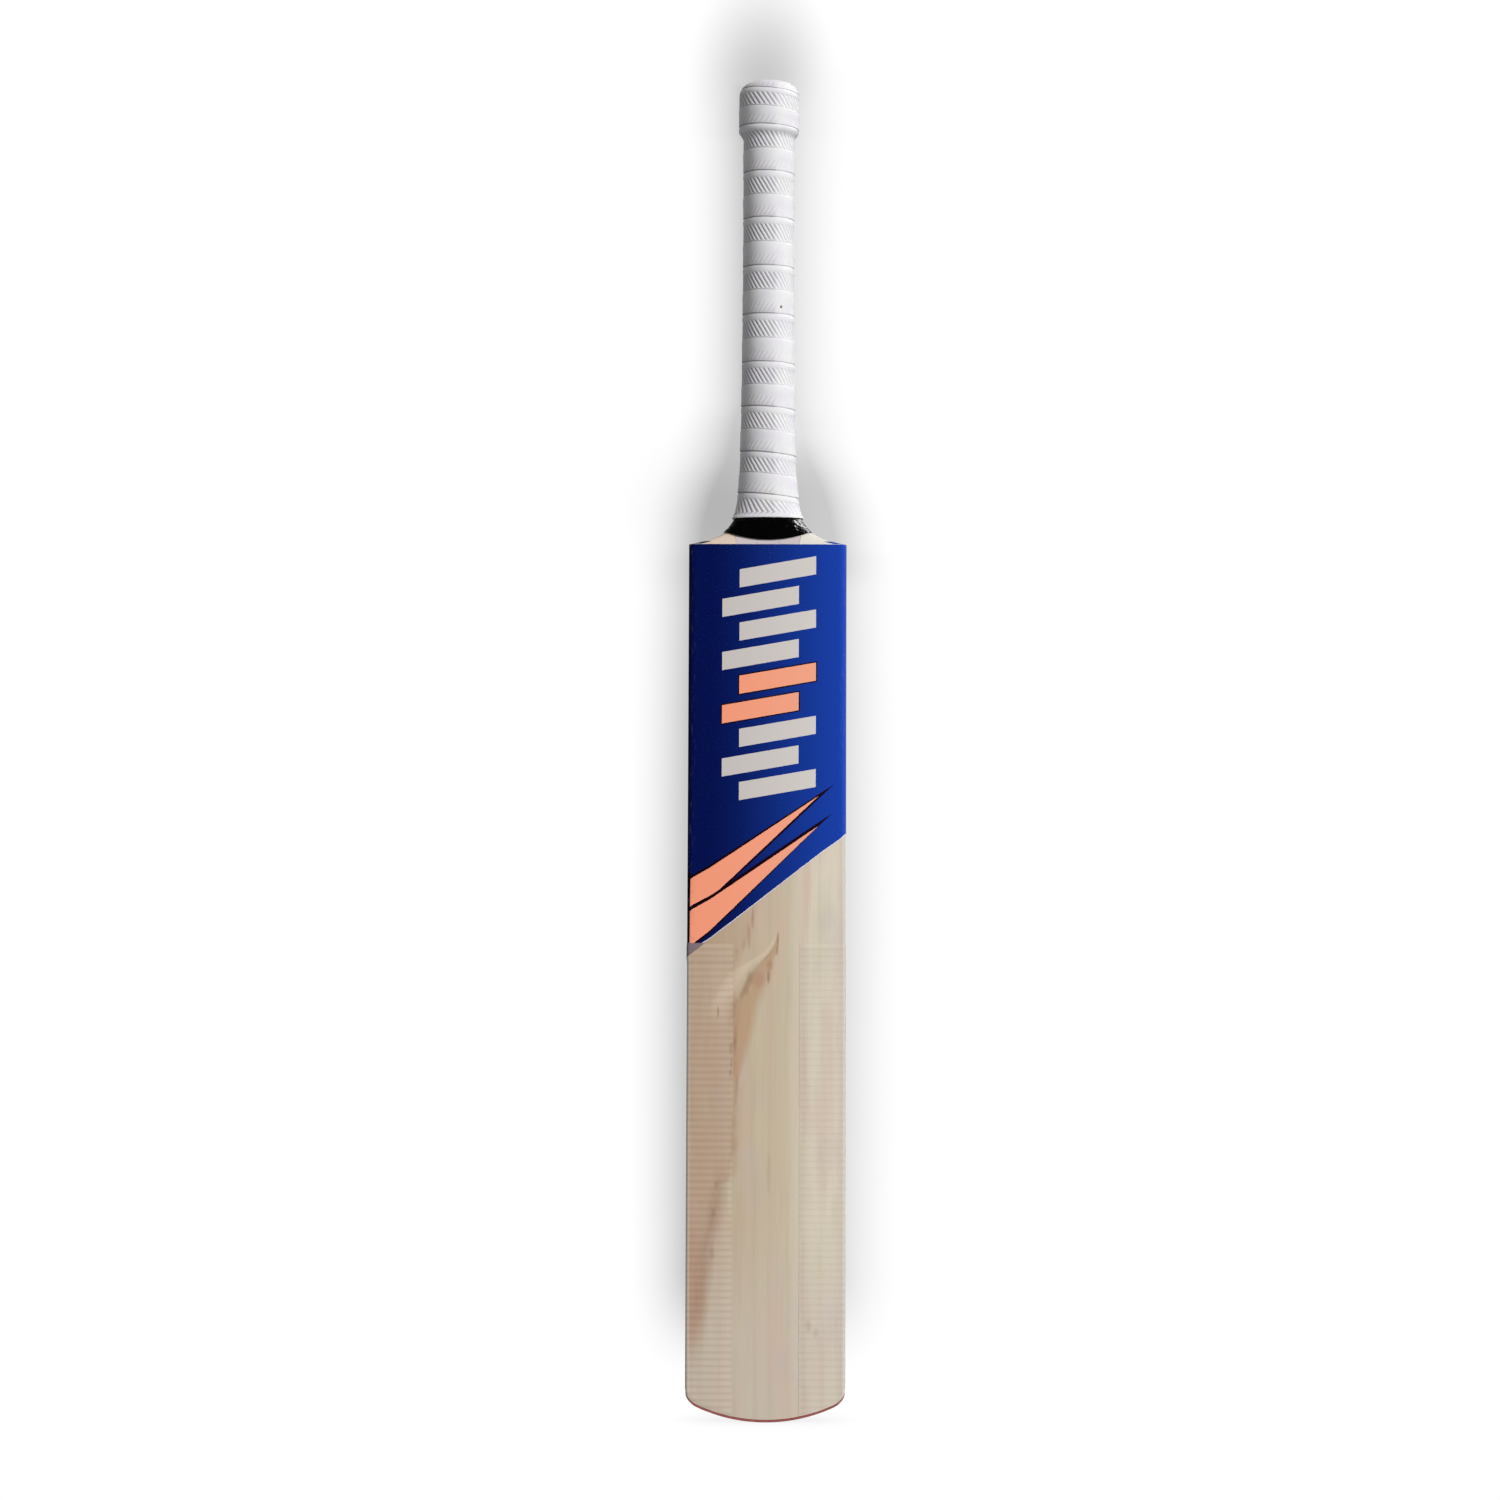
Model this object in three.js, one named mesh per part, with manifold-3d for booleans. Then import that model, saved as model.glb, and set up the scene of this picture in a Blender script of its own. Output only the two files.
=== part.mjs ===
// A full-size cricket bat as the pieces it is made from: a willow blade, a spliced handle of laminated cane with
// rubber springs, its twine and tape bindings, a rubber grip, the stickers, the edge tapes and the toe guard.
// Millimetres. Z runs up the bat from the toe (0) to the end of the handle, the hitting face looks along -Y, and
// left and right are as seen by someone looking at that face. The origin is under the middle of the toe.
import * as THREE from "three";
import { mergeVertices } from "three/addons/utils/BufferGeometryUtils.js";
import Module from "manifold-3d";

// ---- Driving dimensions ----
const LENGTH = 860;
const FAR = 60; // beyond the blade's width and depth
const SHOULDER_Z = 561.6; // top of the hitting face
const FACE_Y = -30.3;
const HANDLE_Y = -10.5; // the handle's axis, behind the face
const TOE_HALF_WIDTH = 51;
const SHOULDER_HALF_WIDTH = 50.1;

// Blade depth behind the face, as [height, depth] knots: along the spine, and at the two edges.
const SPINE_DEPTH = [[-5, 23], [40, 36], [110, 51], [205, 61], [300, 57], [400, 47.5], [480, 39.5], [562, 34]];
const EDGE_DEPTH = [[-5, 17], [40, 25], [110, 31.5], [205, 35], [300, 33.5], [400, 28.5], [480, 23.5], [562, 20.5]];
const FACE_CAMBER = 0.5; // how far the face falls back at its edges
const FLAT_SHARE = 0.42; // the flat middle of the face, as a share of its width
const FRONT_CORNER = 4.5;
const BACK_CORNER = 6;
const SCALLOP_POWER = 1.5; // how hollow the back is beside its edges
const RIDGE_ROUNDING = 0.15; // the rounded top of the spine, as a share of the half width

// Neck: the shoulders flare out of the handle as FLARE / (1 + h / FLARE_REACH)^3, h above the shoulder.
const FLARE_REACH = 19.8;
const NECK_ROLL = 12; // how quickly the face rolls back to the handle
const NECK_BLEND = 26; // the height over which the blade's section turns into the handle's oval

// Handle: an oval of cane.
const HANDLE_HALF_WIDTH = 13.8;
const HANDLE_SWELL = 1.2; // extra half width at TAPER_START
const TAPER_START = 600;
const TAPER_END = 750;
const HANDLE_HALF_DEPTH = 15;
const CANE_TOP = LENGTH - 2.2;

// Splice: the cane's wedge in the blade.
const SPLICE_TIP_Z = 431;
const SPLICE_TIP_HALF = 0.6;
const SPLICE_SHOULDER_HALF = 20;
const WILLOW_TOP = 576;
const STRIP_HALF = 7; // half of a cane strip's width
const SPRING_PITCH = 8.1;
const SPRING_THICKNESS = 1.5;
const SPRING_BOTTOM = SHOULDER_Z - 70; // inside the 82.6 mm the laws allow below the shoulder
const GLUE = 0.1;

// Sleeves on the handle, as offsets out from the cane: [inside, outside].
const TWINE = [0.15, 0.75];
const END_WINDING = [0.9, 3.1];
const NECK_TAPE = [0.9, 1.5];
const END_WINDING_Z = [830, 850];
const NECK_TAPE_TOP = 586;
const NECK_FRONT_Z = 564.6; // lower edge of the neck tape at the front
const NECK_SIDE_Z = 570.3; // and at the sides
const NECK_SIDE_X = 28.8;
const GRIP_BOTTOM = 579;
const GRIP_WALL = [0.9, 2.8];
const GRIP_OVER_TAPE = [1.7, 3.2];
const GRIP_OVER_WINDING = [3.3, 5.6];
const FOLD_DOWN = 9.5; // the grip folds over the end of the handle: how far down and in the fold reaches
const FOLD_IN = 8;
const LIP_OPENING = -7.5; // the end opening inside the fold, as an offset from the cane

// Sheets on the blade, as offsets out from the wood: [inside, outside].
const STICKER = [0.1, 0.35];
const TAPE = [0.1, 0.4];
const TAPE_OVER_STICKER = [0.45, 0.75];
const TAPE_TOP = 306.5;
const TAPE_STEP_Z = 294; // below this the left tape is down on the wood
const STICKER_LEFT_Z = 298.6; // the face sticker's diagonal lower edge, at the two edges of the face
const STICKER_RIGHT_Z = 376.2;
const BACK_STICKER_Z = [150, 395];
const EDGE_STICKER_TOP = SHOULDER_Z + 2;

// Toe: a shallow arc with rounded corners, and a rubber guard under it.
const TOE_RADIUS = 105;
const TOE_CORNER = 14;
const GUARD_THICKNESS = 1.5;

const SIDES = 28; // points round a section; index 0 is the middle of the face, and they run to the right
const HALF = SIDES / 2;

// ---- Solids ----
const wasm = await Module();
wasm.setup();

function toSolid(geometry) {
  const bare = geometry.clone();
  for (const name of ["normal", "uv"]) bare.deleteAttribute(name);
  const merged = mergeVertices(bare, 1e-4);
  return new wasm.Manifold(
    new wasm.Mesh({
      numProp: 3,
      vertProperties: merged.attributes.position.array,
      triVerts: new Uint32Array(merged.index.array),
    }),
  );
}

function toGeometry(solid) {
  const mesh = solid.getMesh();
  const geometry = new THREE.BufferGeometry();
  geometry.setAttribute("position", new THREE.BufferAttribute(mesh.vertProperties, 3));
  geometry.setIndex(new THREE.BufferAttribute(mesh.triVerts, 1));
  geometry.computeVertexNormals();
  return geometry;
}

// A closed solid through rings of points that all run anticlockwise seen from above.
function loft(rings) {
  const count = rings[0].length;
  const position = rings.flat().flatMap((p) => [p.x, p.y, p.z]);
  const index = [];
  for (let r = 0; r + 1 < rings.length; r++) {
    for (let i = 0; i < count; i++) {
      const a = r * count + i;
      const b = r * count + ((i + 1) % count);
      index.push(a, b, b + count, a, b + count, a + count);
    }
  }
  const cap = (ring) =>
    THREE.ShapeUtils.triangulateShape(
      ring.map((p) => new THREE.Vector2(p.x, p.y)),
      [],
    );
  const last = (rings.length - 1) * count;
  for (const [a, b, c] of cap(rings[0])) index.push(a, c, b);
  for (const [a, b, c] of cap(rings.at(-1))) index.push(last + a, last + b, last + c);
  const geometry = new THREE.BufferGeometry();
  geometry.setAttribute("position", new THREE.Float32BufferAttribute(position, 3));
  geometry.setIndex(index);
  return toSolid(geometry);
}

// A front-view outline carried from y0 to y1.
function prism(shape, y0, y1, curveSegments = 1) {
  const geometry = new THREE.ExtrudeGeometry(shape, { depth: y1 - y0, bevelEnabled: false, curveSegments });
  return toSolid(geometry.rotateX(Math.PI / 2).translate(0, y1, 0));
}

const outline = (...points) => new THREE.Shape(points.map(([x, z]) => new THREE.Vector2(x, z)));

function block([x0, x1], [y0, y1], [z0, z1]) {
  const box = new THREE.BoxGeometry(x1 - x0, y1 - y0, z1 - z0);
  return toSolid(box.translate((x0 + x1) / 2, (y0 + y1) / 2, (z0 + z1) / 2));
}

// ---- The bat's outer form ----
// A smooth curve through [height, value] knots that never overshoots them.
function curveThrough(knots) {
  const slope = (i) => (knots[i + 1][1] - knots[i][1]) / (knots[i + 1][0] - knots[i][0]);
  const tangent = (i) => {
    if (i === 0) return slope(0);
    if (i === knots.length - 1) return slope(i - 1);
    const [before, after] = [slope(i - 1), slope(i)];
    return before * after <= 0 ? 0 : (2 * before * after) / (before + after);
  };
  return (z) => {
    const at = THREE.MathUtils.clamp(z, knots[0][0], knots.at(-1)[0]);
    const i = Math.min(knots.length - 2, knots.filter((k) => k[0] <= at).length - 1);
    const span = knots[i + 1][0] - knots[i][0];
    const t = (at - knots[i][0]) / span;
    const [t2, t3] = [t * t, t * t * t];
    return (
      (2 * t3 - 3 * t2 + 1) * knots[i][1] +
      (t3 - 2 * t2 + t) * span * tangent(i) +
      (3 * t2 - 2 * t3) * knots[i + 1][1] +
      (t3 - t2) * span * tangent(i + 1)
    );
  };
}

const spineDepth = curveThrough(SPINE_DEPTH);
const edgeDepth = curveThrough(EDGE_DEPTH);

function handleHalfWidth(z) {
  const along = THREE.MathUtils.clamp((TAPER_END - z) / (TAPER_END - TAPER_START), 0, 1.2);
  return HANDLE_HALF_WIDTH + HANDLE_SWELL * along;
}

function halfWidth(z) {
  if (z <= SHOULDER_Z) {
    return THREE.MathUtils.lerp(TOE_HALF_WIDTH, SHOULDER_HALF_WIDTH, z / SHOULDER_Z);
  }
  const flare = SHOULDER_HALF_WIDTH - handleHalfWidth(SHOULDER_Z);
  return handleHalfWidth(z) + flare / (1 + (z - SHOULDER_Z) / FLARE_REACH) ** 3;
}

// How far the face has fallen back, at a share of its half width.
const camber = (share) => FACE_CAMBER * (Math.max(0, share - FLAT_SHARE) / (1 - FLAT_SHARE)) ** 2;

// How far the back has risen from the edge (0) to the spine (1), a share of the way across.
function scallop(share) {
  const rounded = (gap) => Math.hypot(gap, RIDGE_ROUNDING) - RIDGE_ROUNDING;
  return (1 - rounded(1 - share) / rounded(1)) ** SCALLOP_POWER;
}

// The right half of a blade section, from the middle of the face round to the spine, as HALF + 1 points.
function bladeHalf(w, front, edge, spine) {
  const shares = [0, FLAT_SHARE / 2, FLAT_SHARE, 0.72];
  const points = shares.map((share) => new THREE.Vector2(share * w, front + camber(share)));
  const cornerFront = front + camber((w - FRONT_CORNER) / w);
  for (let k = 0; k <= 2; k++) {
    const a = (k * Math.PI) / 4;
    const x = w - FRONT_CORNER * (1 - Math.sin(a));
    points.push(new THREE.Vector2(x, cornerFront + FRONT_CORNER * (1 - Math.cos(a))));
  }
  for (let k = 0; k <= 2; k++) {
    const a = (k * Math.PI) / 4;
    const y = front + edge - BACK_CORNER * (1 - Math.sin(a));
    points.push(new THREE.Vector2(w - BACK_CORNER * (1 - Math.cos(a)), y));
  }
  for (let k = 1; k <= 5; k++) {
    const share = k / 5;
    const y = front + edge + (spine - edge) * scallop(share);
    points.push(new THREE.Vector2((w - BACK_CORNER) * (1 - share), y));
  }
  return points;
}

// The bare wood's section at height z.
function section(z) {
  const w = halfWidth(z);
  const h = Math.max(0, z - SHOULDER_Z);
  const roll = 1 - Math.exp(-h / NECK_ROLL);
  const front = THREE.MathUtils.lerp(FACE_Y, HANDLE_Y - HANDLE_HALF_DEPTH, roll);
  const back = THREE.MathUtils.lerp(FACE_Y + spineDepth(z), HANDLE_Y + HANDLE_HALF_DEPTH, roll);
  const half = bladeHalf(w, front, edgeDepth(z), back - front);
  const oval = THREE.MathUtils.smoothstep(h, 0, NECK_BLEND);
  const points = [];
  for (let i = 0; i < SIDES; i++) {
    const right = i <= HALF;
    const blade = half[right ? i : SIDES - i];
    const a = (2 * Math.PI * i) / SIDES;
    const round = new THREE.Vector2(
      w * Math.sin(a),
      (front + back) / 2 - ((back - front) / 2) * Math.cos(a),
    );
    points.push(new THREE.Vector2(right ? blade.x : -blade.x, blade.y).lerp(round, oval));
  }
  return points;
}

// A section moved out from the wood by a distance.
function offsetSection(z, distance) {
  const points = section(z);
  return points.map((p, i) => {
    const before = points[(i + SIDES - 1) % SIDES];
    const after = points[(i + 1) % SIDES];
    const along = after.clone().sub(before).normalize();
    return new THREE.Vector3(p.x + along.y * distance, p.y - along.x * distance, z);
  });
}

const woodLoft = (heights, distance = () => 0) => loft(heights.map((z) => offsetSection(z, distance(z))));

function steps(from, to, count) {
  return Array.from({ length: count + 1 }, (_, i) => from + ((to - from) * i) / count);
}

const BLADE_HEIGHTS = [-5, 18, ...steps(40, 520, 16), 545, SHOULDER_Z - 2];
const SHOULDER_HEIGHTS = [0, 0.8, 1.7, 3.3, 6, 9, 12.5].map((h) => SHOULDER_Z + h);
const NECK_HEIGHTS = [GRIP_BOTTOM, 582.5, NECK_TAPE_TOP, NECK_TAPE_TOP + 5, TAPER_START];
const HANDLE_HEIGHTS = [630, 670, 710, TAPER_END];

// ---- Blade and handle ----
const spliceSlope = (SPLICE_SHOULDER_HALF - SPLICE_TIP_HALF) / (SHOULDER_Z - SPLICE_TIP_Z);

// The wedge's front view, open above the willow, grown by a gap on every side.
function spliceOutline(gap) {
  const top = SPLICE_TIP_HALF + spliceSlope * (WILLOW_TOP - SPLICE_TIP_Z) + gap;
  return outline(
    [-SPLICE_TIP_HALF - gap, SPLICE_TIP_Z - gap],
    [SPLICE_TIP_HALF + gap, SPLICE_TIP_Z - gap],
    [top, WILLOW_TOP - gap],
    [FAR, WILLOW_TOP - gap],
    [FAR, LENGTH],
    [-FAR, LENGTH],
    [-FAR, WILLOW_TOP - gap],
    [-top, WILLOW_TOP - gap],
  );
}

// The toe's front view, raised by a height: an arc between two corner arcs that end 1 mm outside the sides.
const CORNER_X = TOE_HALF_WIDTH + 1 - TOE_CORNER;
const CORNER_LEAN = Math.asin(CORNER_X / (TOE_RADIUS - TOE_CORNER));
const TOE_ARC_SEGMENTS = 5;

function toePrism(raised) {
  const cornerZ = TOE_RADIUS - (TOE_RADIUS - TOE_CORNER) * Math.cos(CORNER_LEAN);
  const down = -Math.PI / 2;
  const shape = new THREE.Shape();
  shape.moveTo(CORNER_X + TOE_CORNER, LENGTH);
  shape.lineTo(-CORNER_X - TOE_CORNER, LENGTH);
  shape.absarc(-CORNER_X, cornerZ, TOE_CORNER, -Math.PI, down - CORNER_LEAN, false);
  shape.absarc(0, TOE_RADIUS, TOE_RADIUS, down - CORNER_LEAN, down + CORNER_LEAN, false);
  shape.absarc(CORNER_X, cornerZ, TOE_CORNER, down + CORNER_LEAN, 0, false);
  return prism(shape, -FAR, FAR, TOE_ARC_SEGMENTS).translate([0, 0, raised]);
}

const bladeBody = woodLoft([...BLADE_HEIGHTS, ...SHOULDER_HEIGHTS, GRIP_BOTTOM]);

function makeBlade() {
  const slot = prism(spliceOutline(2 * GLUE), -FAR, FAR);
  return bladeBody.intersect(toePrism(GUARD_THICKNESS + GLUE)).subtract(slot);
}

function makeToeGuard() {
  return bladeBody.intersect(toePrism(0)).subtract(toePrism(GUARD_THICKNESS));
}

function makeHandleBlank() {
  const low = steps(SPLICE_TIP_Z - 11, 520, 3);
  const heights = [...low, 545, SHOULDER_Z - 2, ...SHOULDER_HEIGHTS, ...NECK_HEIGHTS, ...HANDLE_HEIGHTS, CANE_TOP];
  return woodLoft(heights).intersect(prism(spliceOutline(0), -FAR, FAR));
}

const springY = [-1, 0, 1].map((k) => HANDLE_Y + k * SPRING_PITCH);

function springSlab(y, thickness, bottom) {
  return block([-FAR, FAR], [y - thickness / 2, y + thickness / 2], [bottom, LENGTH]);
}

// Four layers of three cane strips, with a slot for a spring between each two layers.
function makeCanes(blank) {
  const columns = {
    left: [-FAR, -STRIP_HALF - GLUE / 2],
    centre: [-STRIP_HALF + GLUE / 2, STRIP_HALF - GLUE / 2],
    right: [STRIP_HALF + GLUE / 2, FAR],
  };
  const edges = [-FAR, ...springY, FAR];
  const slots = springY.map((y) => springSlab(y, SPRING_THICKNESS + 2 * GLUE, SPRING_BOTTOM - GLUE));
  const open = slots.reduce((solid, slot) => solid.subtract(slot), blank);
  const canes = {};
  ["front", "mid_front", "mid_back", "back"].forEach((layer, k) => {
    for (const [column, across] of Object.entries(columns)) {
      const depth = [edges[k] + GLUE / 2, edges[k + 1] - GLUE / 2];
      canes[`cane_${layer}_${column}`] = open.intersect(block(across, depth, [0, LENGTH]));
    }
  });
  return canes;
}

function makeSprings(blank) {
  const names = ["rubber_spring_front", "rubber_spring_middle", "rubber_spring_back"];
  return Object.fromEntries(
    names.map((name, k) => [name, blank.intersect(springSlab(springY[k], SPRING_THICKNESS, SPRING_BOTTOM))]),
  );
}

// ---- Sleeves on the handle ----
// What lies above the neck's lower edge, which is low at the front and back and high at the sides.
function aboveNeckEdge(raised) {
  const control = 2 * NECK_FRONT_Z - NECK_SIDE_Z;
  const shape = new THREE.Shape();
  shape.moveTo(-NECK_SIDE_X, NECK_SIDE_Z + raised);
  shape.quadraticCurveTo(0, control + raised, NECK_SIDE_X, NECK_SIDE_Z + raised);
  shape.lineTo(FAR, NECK_SIDE_Z + raised);
  shape.lineTo(FAR, LENGTH);
  shape.lineTo(-FAR, LENGTH);
  shape.lineTo(-FAR, NECK_SIDE_Z + raised);
  return prism(shape, -FAR, FAR, 8);
}

function sleeve(heights, [inside, outside]) {
  const longer = [heights[0] - 2, ...heights, heights.at(-1) + 2];
  return woodLoft(heights, () => outside).subtract(woodLoft(longer, () => inside));
}

function makeTwine() {
  const heights = [...SHOULDER_HEIGHTS.slice(2), ...NECK_HEIGHTS, ...HANDLE_HEIGHTS, CANE_TOP - 0.5];
  return sleeve(heights, TWINE).intersect(aboveNeckEdge(1.5));
}

function makeNeckTape() {
  const heights = [...SHOULDER_HEIGHTS.slice(2), ...NECK_HEIGHTS.slice(0, 3)];
  return sleeve(heights, NECK_TAPE).intersect(aboveNeckEdge(0));
}

// The grip hugs the neck tape, the twine and the end winding in turn, and folds over the end of the handle.
function makeGrip() {
  const [windingFrom, windingTo] = END_WINDING_Z;
  const inside = curveThrough([
    [GRIP_BOTTOM, GRIP_OVER_TAPE[0]], [NECK_TAPE_TOP, GRIP_OVER_TAPE[0]], [NECK_TAPE_TOP + 5, GRIP_WALL[0]],
    [windingFrom - 7, GRIP_WALL[0]], [windingFrom - 1, GRIP_OVER_WINDING[0]],
    [windingTo + 0.5, GRIP_OVER_WINDING[0]], [windingTo + 3, GRIP_WALL[0]], [LENGTH, GRIP_WALL[0]],
  ]);
  const outside = curveThrough([
    [GRIP_BOTTOM, GRIP_OVER_TAPE[1]], [NECK_TAPE_TOP, GRIP_WALL[1]],
    [windingFrom - 7, GRIP_WALL[1]], [windingFrom - 1, GRIP_OVER_WINDING[1]], [LENGTH, GRIP_OVER_WINDING[1]],
  ]);
  const band = [windingFrom - 7, windingFrom - 3.5, windingFrom - 1];
  const heights = [...NECK_HEIGHTS, ...HANDLE_HEIGHTS, 800, ...band, LENGTH - FOLD_DOWN];
  const rings = heights.map((z) => offsetSection(z, outside(z)));
  for (const degrees of [20, 40, 65, 90]) {
    const angle = THREE.MathUtils.degToRad(degrees);
    const offset = GRIP_OVER_WINDING[1] - FOLD_IN * (1 - Math.cos(angle));
    rings.push(offsetSection(LENGTH - FOLD_DOWN * (1 - Math.sin(angle)), offset));
  }
  const bore = woodLoft([GRIP_BOTTOM - 2, ...heights, windingTo + 3, CANE_TOP + 0.2], inside);
  const opening = woodLoft([windingTo, LENGTH + 2], () => LIP_OPENING);
  return loft(rings).subtract(bore).subtract(opening);
}

// ---- Sheets on the blade ----
const SHEET_HEIGHTS = [...BLADE_HEIGHTS, ...SHOULDER_HEIGHTS];

// A skin over the whole blade between two offsets from the wood.
function skin([inside, outside]) {
  const inner = woodLoft([SHEET_HEIGHTS[0] - 1, ...SHEET_HEIGHTS, SHEET_HEIGHTS.at(-1) + 1], () => inside);
  return woodLoft(SHEET_HEIGHTS, () => outside).subtract(inner);
}

// The stretch of a section between two indices, which may be fractions, moved out from the wood.
function stretch(z, from, to, distance) {
  const ring = offsetSection(z, distance);
  const at = (f) => {
    const i = Math.floor(f);
    return ring[(i + SIDES) % SIDES].clone().lerp(ring[(i + 1 + SIDES) % SIDES], f - i);
  };
  const whole = [];
  for (let i = Math.floor(from) + 1; i < to; i++) whole.push(i);
  return [from, ...whole, to].map(at);
}

// What a sheet over that stretch may fill, from a little under the surface to well over it.
function sector(from, to) {
  return loft(
    SHEET_HEIGHTS.map((z) => [...stretch(z, from, to, 2), ...stretch(z, from, to, -1).reverse()]),
  );
}

const between = (bottom, top) => block([-FAR, FAR], [-FAR, FAR], [bottom, top]);

const FRONT_CORNER_END = 5.9; // section indices on the right half; the left half mirrors them
const EDGE_SECTOR = [6.1, 8];
const TAPE_SECTOR = [2, 6.6];
const BACK_STICKER_HALF = 3.5; // counted from the spine
const mirrored = ([start, end]) => [-end, -start];

function makeFaceSticker() {
  const slope = (STICKER_RIGHT_Z - STICKER_LEFT_Z) / (2 * SHOULDER_HALF_WIDTH);
  const reach = FAR - SHOULDER_HALF_WIDTH;
  const area = outline(
    [-FAR, STICKER_LEFT_Z - slope * reach],
    [FAR, STICKER_RIGHT_Z + slope * reach],
    [FAR, SHOULDER_Z],
    [-FAR, SHOULDER_Z],
  );
  return skin(STICKER).intersect(sector(-FRONT_CORNER_END, FRONT_CORNER_END)).intersect(prism(area, -FAR, 0));
}

// side is 1 for the right edge and -1 for the left one.
function makeEdgeSticker(side) {
  const bottom = side > 0 ? STICKER_RIGHT_Z : TAPE_TOP + 1.5;
  const area = sector(...(side > 0 ? EDGE_SECTOR : mirrored(EDGE_SECTOR)));
  return skin(STICKER).intersect(area).intersect(between(bottom, EDGE_STICKER_TOP));
}

function makeBackSticker() {
  const area = sector(HALF - BACK_STICKER_HALF, HALF + BACK_STICKER_HALF);
  return skin(STICKER).intersect(area).intersect(between(...BACK_STICKER_Z));
}

const tapeBottom = toePrism(GUARD_THICKNESS + 3 * GLUE);

function makeRightTape() {
  return skin(TAPE).intersect(sector(...TAPE_SECTOR)).intersect(between(0, TAPE_TOP)).intersect(tapeBottom);
}

// The left tape steps up at its top, to lie over the tip of the face sticker.
function makeLeftTape() {
  const lower = skin(TAPE).intersect(between(0, TAPE_STEP_Z + 1));
  const step = skin([TAPE[0], TAPE_OVER_STICKER[1]]).intersect(between(TAPE_STEP_Z, TAPE_STEP_Z + 2));
  const upper = skin(TAPE_OVER_STICKER).intersect(between(TAPE_STEP_Z + 1, TAPE_TOP));
  return lower.add(step).add(upper).intersect(sector(...mirrored(TAPE_SECTOR))).intersect(tapeBottom);
}

// ---- The assembly ----
const finish = (color, roughness) => new THREE.MeshStandardMaterial({ color, roughness, metalness: 0 });
const WILLOW = finish(0xd8c6a6, 0.55);
const CANE = finish(0xc9a873, 0.6);
const SPRING_RUBBER = finish(0x2b2623, 0.8);
const THREAD = finish(0xe6dcc4, 0.8);
const BLACK_TAPE = finish(0x0a0a0b, 0.2);
const GRIP_RUBBER = finish(0xe9e7e8, 0.5);
const VINYL = finish(0x10308f, 0.35);
const FIBRE_TAPE = finish(0xc9bba0, 0.45);
const TOE_RUBBER = finish(0x7c3b38, 0.5);

const bat = new THREE.Group();

function add(name, solid, material) {
  const mesh = new THREE.Mesh(toGeometry(solid), material);
  mesh.name = name;
  bat.add(mesh);
}

const blank = makeHandleBlank();
add("blade", makeBlade(), WILLOW);
add("toe_guard", makeToeGuard(), TOE_RUBBER);
for (const [name, solid] of Object.entries(makeCanes(blank))) add(name, solid, CANE);
for (const [name, solid] of Object.entries(makeSprings(blank))) add(name, solid, SPRING_RUBBER);
add("twine_binding", makeTwine(), THREAD);
add("end_winding", sleeve(END_WINDING_Z, END_WINDING), THREAD);
add("neck_tape", makeNeckTape(), BLACK_TAPE);
add("grip", makeGrip(), GRIP_RUBBER);
add("face_sticker", makeFaceSticker(), VINYL);
add("edge_sticker_left", makeEdgeSticker(-1), VINYL);
add("edge_sticker_right", makeEdgeSticker(1), VINYL);
add("back_sticker", makeBackSticker(), VINYL);
add("edge_tape_left", makeLeftTape(), FIBRE_TAPE);
add("edge_tape_right", makeRightTape(), FIBRE_TAPE);

export default bat;
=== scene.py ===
"""The looks of a full-size cricket bat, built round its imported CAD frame.

Shapes are worked out in millimetres, in the frame's own axes: Z up the bat from the toe, the hitting
face towards -Y, and left and right as seen by someone looking at that face.
"""

import math

import bpy
import numpy as np
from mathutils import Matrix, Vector
from mathutils.geometry import delaunay_2d_cdt


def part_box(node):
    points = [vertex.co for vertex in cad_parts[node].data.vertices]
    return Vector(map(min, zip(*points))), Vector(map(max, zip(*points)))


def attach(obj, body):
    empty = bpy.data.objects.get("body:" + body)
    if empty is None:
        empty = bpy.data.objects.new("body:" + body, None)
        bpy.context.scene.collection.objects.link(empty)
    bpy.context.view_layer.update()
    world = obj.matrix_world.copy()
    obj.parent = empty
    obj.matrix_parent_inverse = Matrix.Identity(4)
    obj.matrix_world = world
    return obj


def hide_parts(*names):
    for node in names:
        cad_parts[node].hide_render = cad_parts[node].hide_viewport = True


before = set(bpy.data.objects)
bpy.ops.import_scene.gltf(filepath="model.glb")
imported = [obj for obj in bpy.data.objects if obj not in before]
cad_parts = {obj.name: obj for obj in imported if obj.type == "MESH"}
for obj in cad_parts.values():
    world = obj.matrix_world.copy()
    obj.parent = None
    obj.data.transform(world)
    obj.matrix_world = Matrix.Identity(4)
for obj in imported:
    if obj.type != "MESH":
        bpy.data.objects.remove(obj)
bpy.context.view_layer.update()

MM = 0.001


def low(node):
    """A CAD node's lowest corner, in millimetres."""
    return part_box(node)[0] / MM


def high(node):
    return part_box(node)[1] / MM


# ---- Places, from the frame ----
LENGTH = high("grip").z
GRIP_BOTTOM = low("grip").z
SHOULDER_Z = high("face_sticker").z
FACE_Y = low("blade").y
WEDGE_TIP_Z = low("cane_back_centre").z
CANE_TOP = high("cane_back_centre").z
TAPE_TOP = high("edge_tape_right").z
NECK_TAPE_TOP = high("neck_tape").z
NECK_FRONT_Z = low("neck_tape").z
STICKER_LEFT_Z = low("face_sticker").z
STICKER_RIGHT_Z = low("edge_sticker_right").z
EDGE_STICKER_TOP = high("edge_sticker_right").z
BACK_STICKER_Z = (low("back_sticker").z, high("back_sticker").z)
WINDING_Z = (low("end_winding").z, high("end_winding").z)

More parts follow.
